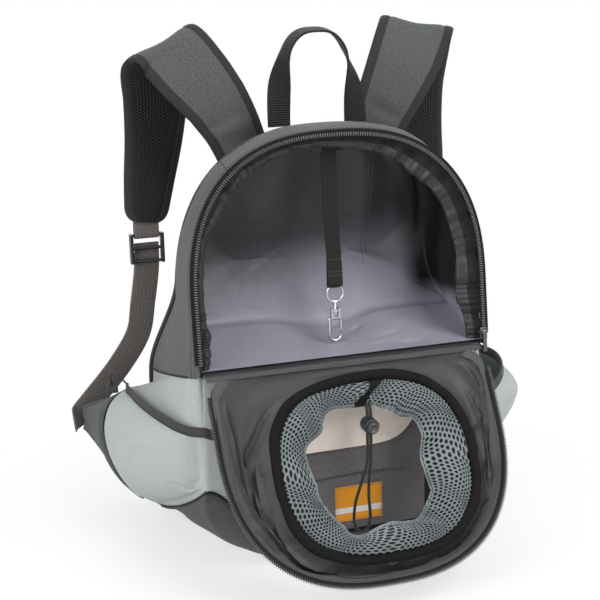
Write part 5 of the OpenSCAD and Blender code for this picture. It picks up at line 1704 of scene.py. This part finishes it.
def seen_rays(look):
    """1 for the rays of the camera, of mirrors and of clear things, 0 for light that bounces."""
    rays = look.nodes.new("ShaderNodeLightPath").outputs
    straight = [Value(look, rays[name]) for name in ("Is Camera Ray", "Is Glossy Ray", "Is Transmission Ray")]
    return straight[0].most(straight[1]).most(straight[2])


# Floor's half side and height, in metres
FLOOR_HALF, FLOOR_Z = 6, -0.0005


def pale_floor():
    """A wide floor that shows white, and near the object a share of its own lit face with the shadow."""
    mesh = bpy.data.meshes.new("floor")
    corners = [(x * FLOOR_HALF, y * FLOOR_HALF, FLOOR_Z) for x, y in ((-1, -1), (1, -1), (1, 1), (-1, 1))]
    mesh.from_pydata(corners, [], [(0, 1, 2, 3)])
    look = Look("floor", Roughness=0.9, Specular_IOR_Level=0.1)
    x, y, z = look.place()
    grain = look.noise(look.joined(x, y, z), 0.02, 2.0)
    look.set(Base_Color=look.mix(grain * 0.4, tone(247, 247, 247), tone(241, 241, 242)))
    away = ((x * x + y * y) ** 0.5).step(160.0, 420.0)
    white = look.node("ShaderNodeEmission", None, (1.0, 1.0, 1.0, 1.0), 1.0)
    lit = Value(look, look.shader.outputs[0])
    shown = look.node("ShaderNodeMixShader", None, seen_rays(look) * (0.68 + away * 0.32), lit, white)
    look.links.new(shown.socket, look.nodes["Material Output"].inputs[0])
    mesh.materials.append(look.material)
    floor = bpy.data.objects.new("floor", mesh)
    bpy.context.scene.collection.objects.link(floor)


def white_world():
    """White where the camera and mirrors look, an even soft grey as light."""
    world = bpy.data.worlds.new("studio")
    world.use_nodes = True
    nodes, links = world.node_tree.nodes, world.node_tree.links
    path = nodes.new("ShaderNodeLightPath")
    seen = nodes.new("ShaderNodeMath")
    seen.operation = "MAXIMUM"
    links.new(path.outputs["Is Camera Ray"], seen.inputs[0])
    also = nodes.new("ShaderNodeMath")
    also.operation = "MAXIMUM"
    links.new(path.outputs["Is Glossy Ray"], also.inputs[0])
    links.new(path.outputs["Is Transmission Ray"], also.inputs[1])
    links.new(also.outputs[0], seen.inputs[1])
    strength = nodes.new("ShaderNodeMix")
    links.new(seen.outputs[0], strength.inputs[0])
    strength.inputs[2].default_value = WORLD_LEVEL
    strength.inputs[3].default_value = 1.0
    links.new(strength.outputs[0], nodes["Background"].inputs[1])
    nodes["Background"].inputs[0].default_value = (1, 1, 1, 1)
    bpy.context.scene.world = world


WORLD_LEVEL = 0.3
pale_floor()
white_world()
lamp("key", (0.9, -1.5, 1.9), (0, 0, 0.2), 1.3, 36)
lamp("fill", (-1.9, -1.0, 1.3), (0, 0, 0.2), 1.4, 26)
lamp("top", (0.0, -0.4, 2.4), (0, 0, 0.2), 1.6, 13)
lamp("rear", (0.2, 2.2, 1.4), (0, 0, 0.2), 1.6, 20)


# Photograph's view: azimuth, elevation and roll in degrees; target, distance and lens in millimetres
VIEW_TURN, VIEW_RISE, VIEW_ROLL = (math.radians(v) for v in (-18.0, 14.7, 1.4))
VIEW_AT = np.array([-8.0, 0.0, 235.0])
VIEW_FAR = 1400
VIEW_LENS = 83.64


def photo_camera():
    """Camera on a sphere round its target, rolled about its own axis."""
    a, e, r = VIEW_TURN, VIEW_RISE, VIEW_ROLL
    back = np.array([math.sin(a) * math.cos(e), -math.cos(a) * math.cos(e), math.sin(e)])
    right = np.array([math.cos(a), math.sin(a), 0.0])
    up = np.cross(back, right)
    pose = np.eye(4)
    pose[:3, 0] = right * math.cos(r) - up * math.sin(r)
    pose[:3, 1] = up * math.cos(r) + right * math.sin(r)
    pose[:3, 2] = back
    pose[:3, 3] = (VIEW_AT + back * VIEW_FAR) * MM
    data = bpy.data.cameras.new("photo_view")
    data.sensor_fit, data.sensor_width, data.lens = "HORIZONTAL", 36, VIEW_LENS
    camera = bpy.data.objects.new("photo_view", data)
    camera.matrix_world = Matrix(pose.tolist())
    bpy.context.scene.collection.objects.link(camera)
    bpy.context.scene.camera = camera


photo_camera()
bpy.context.scene.view_settings.view_transform = "Standard"
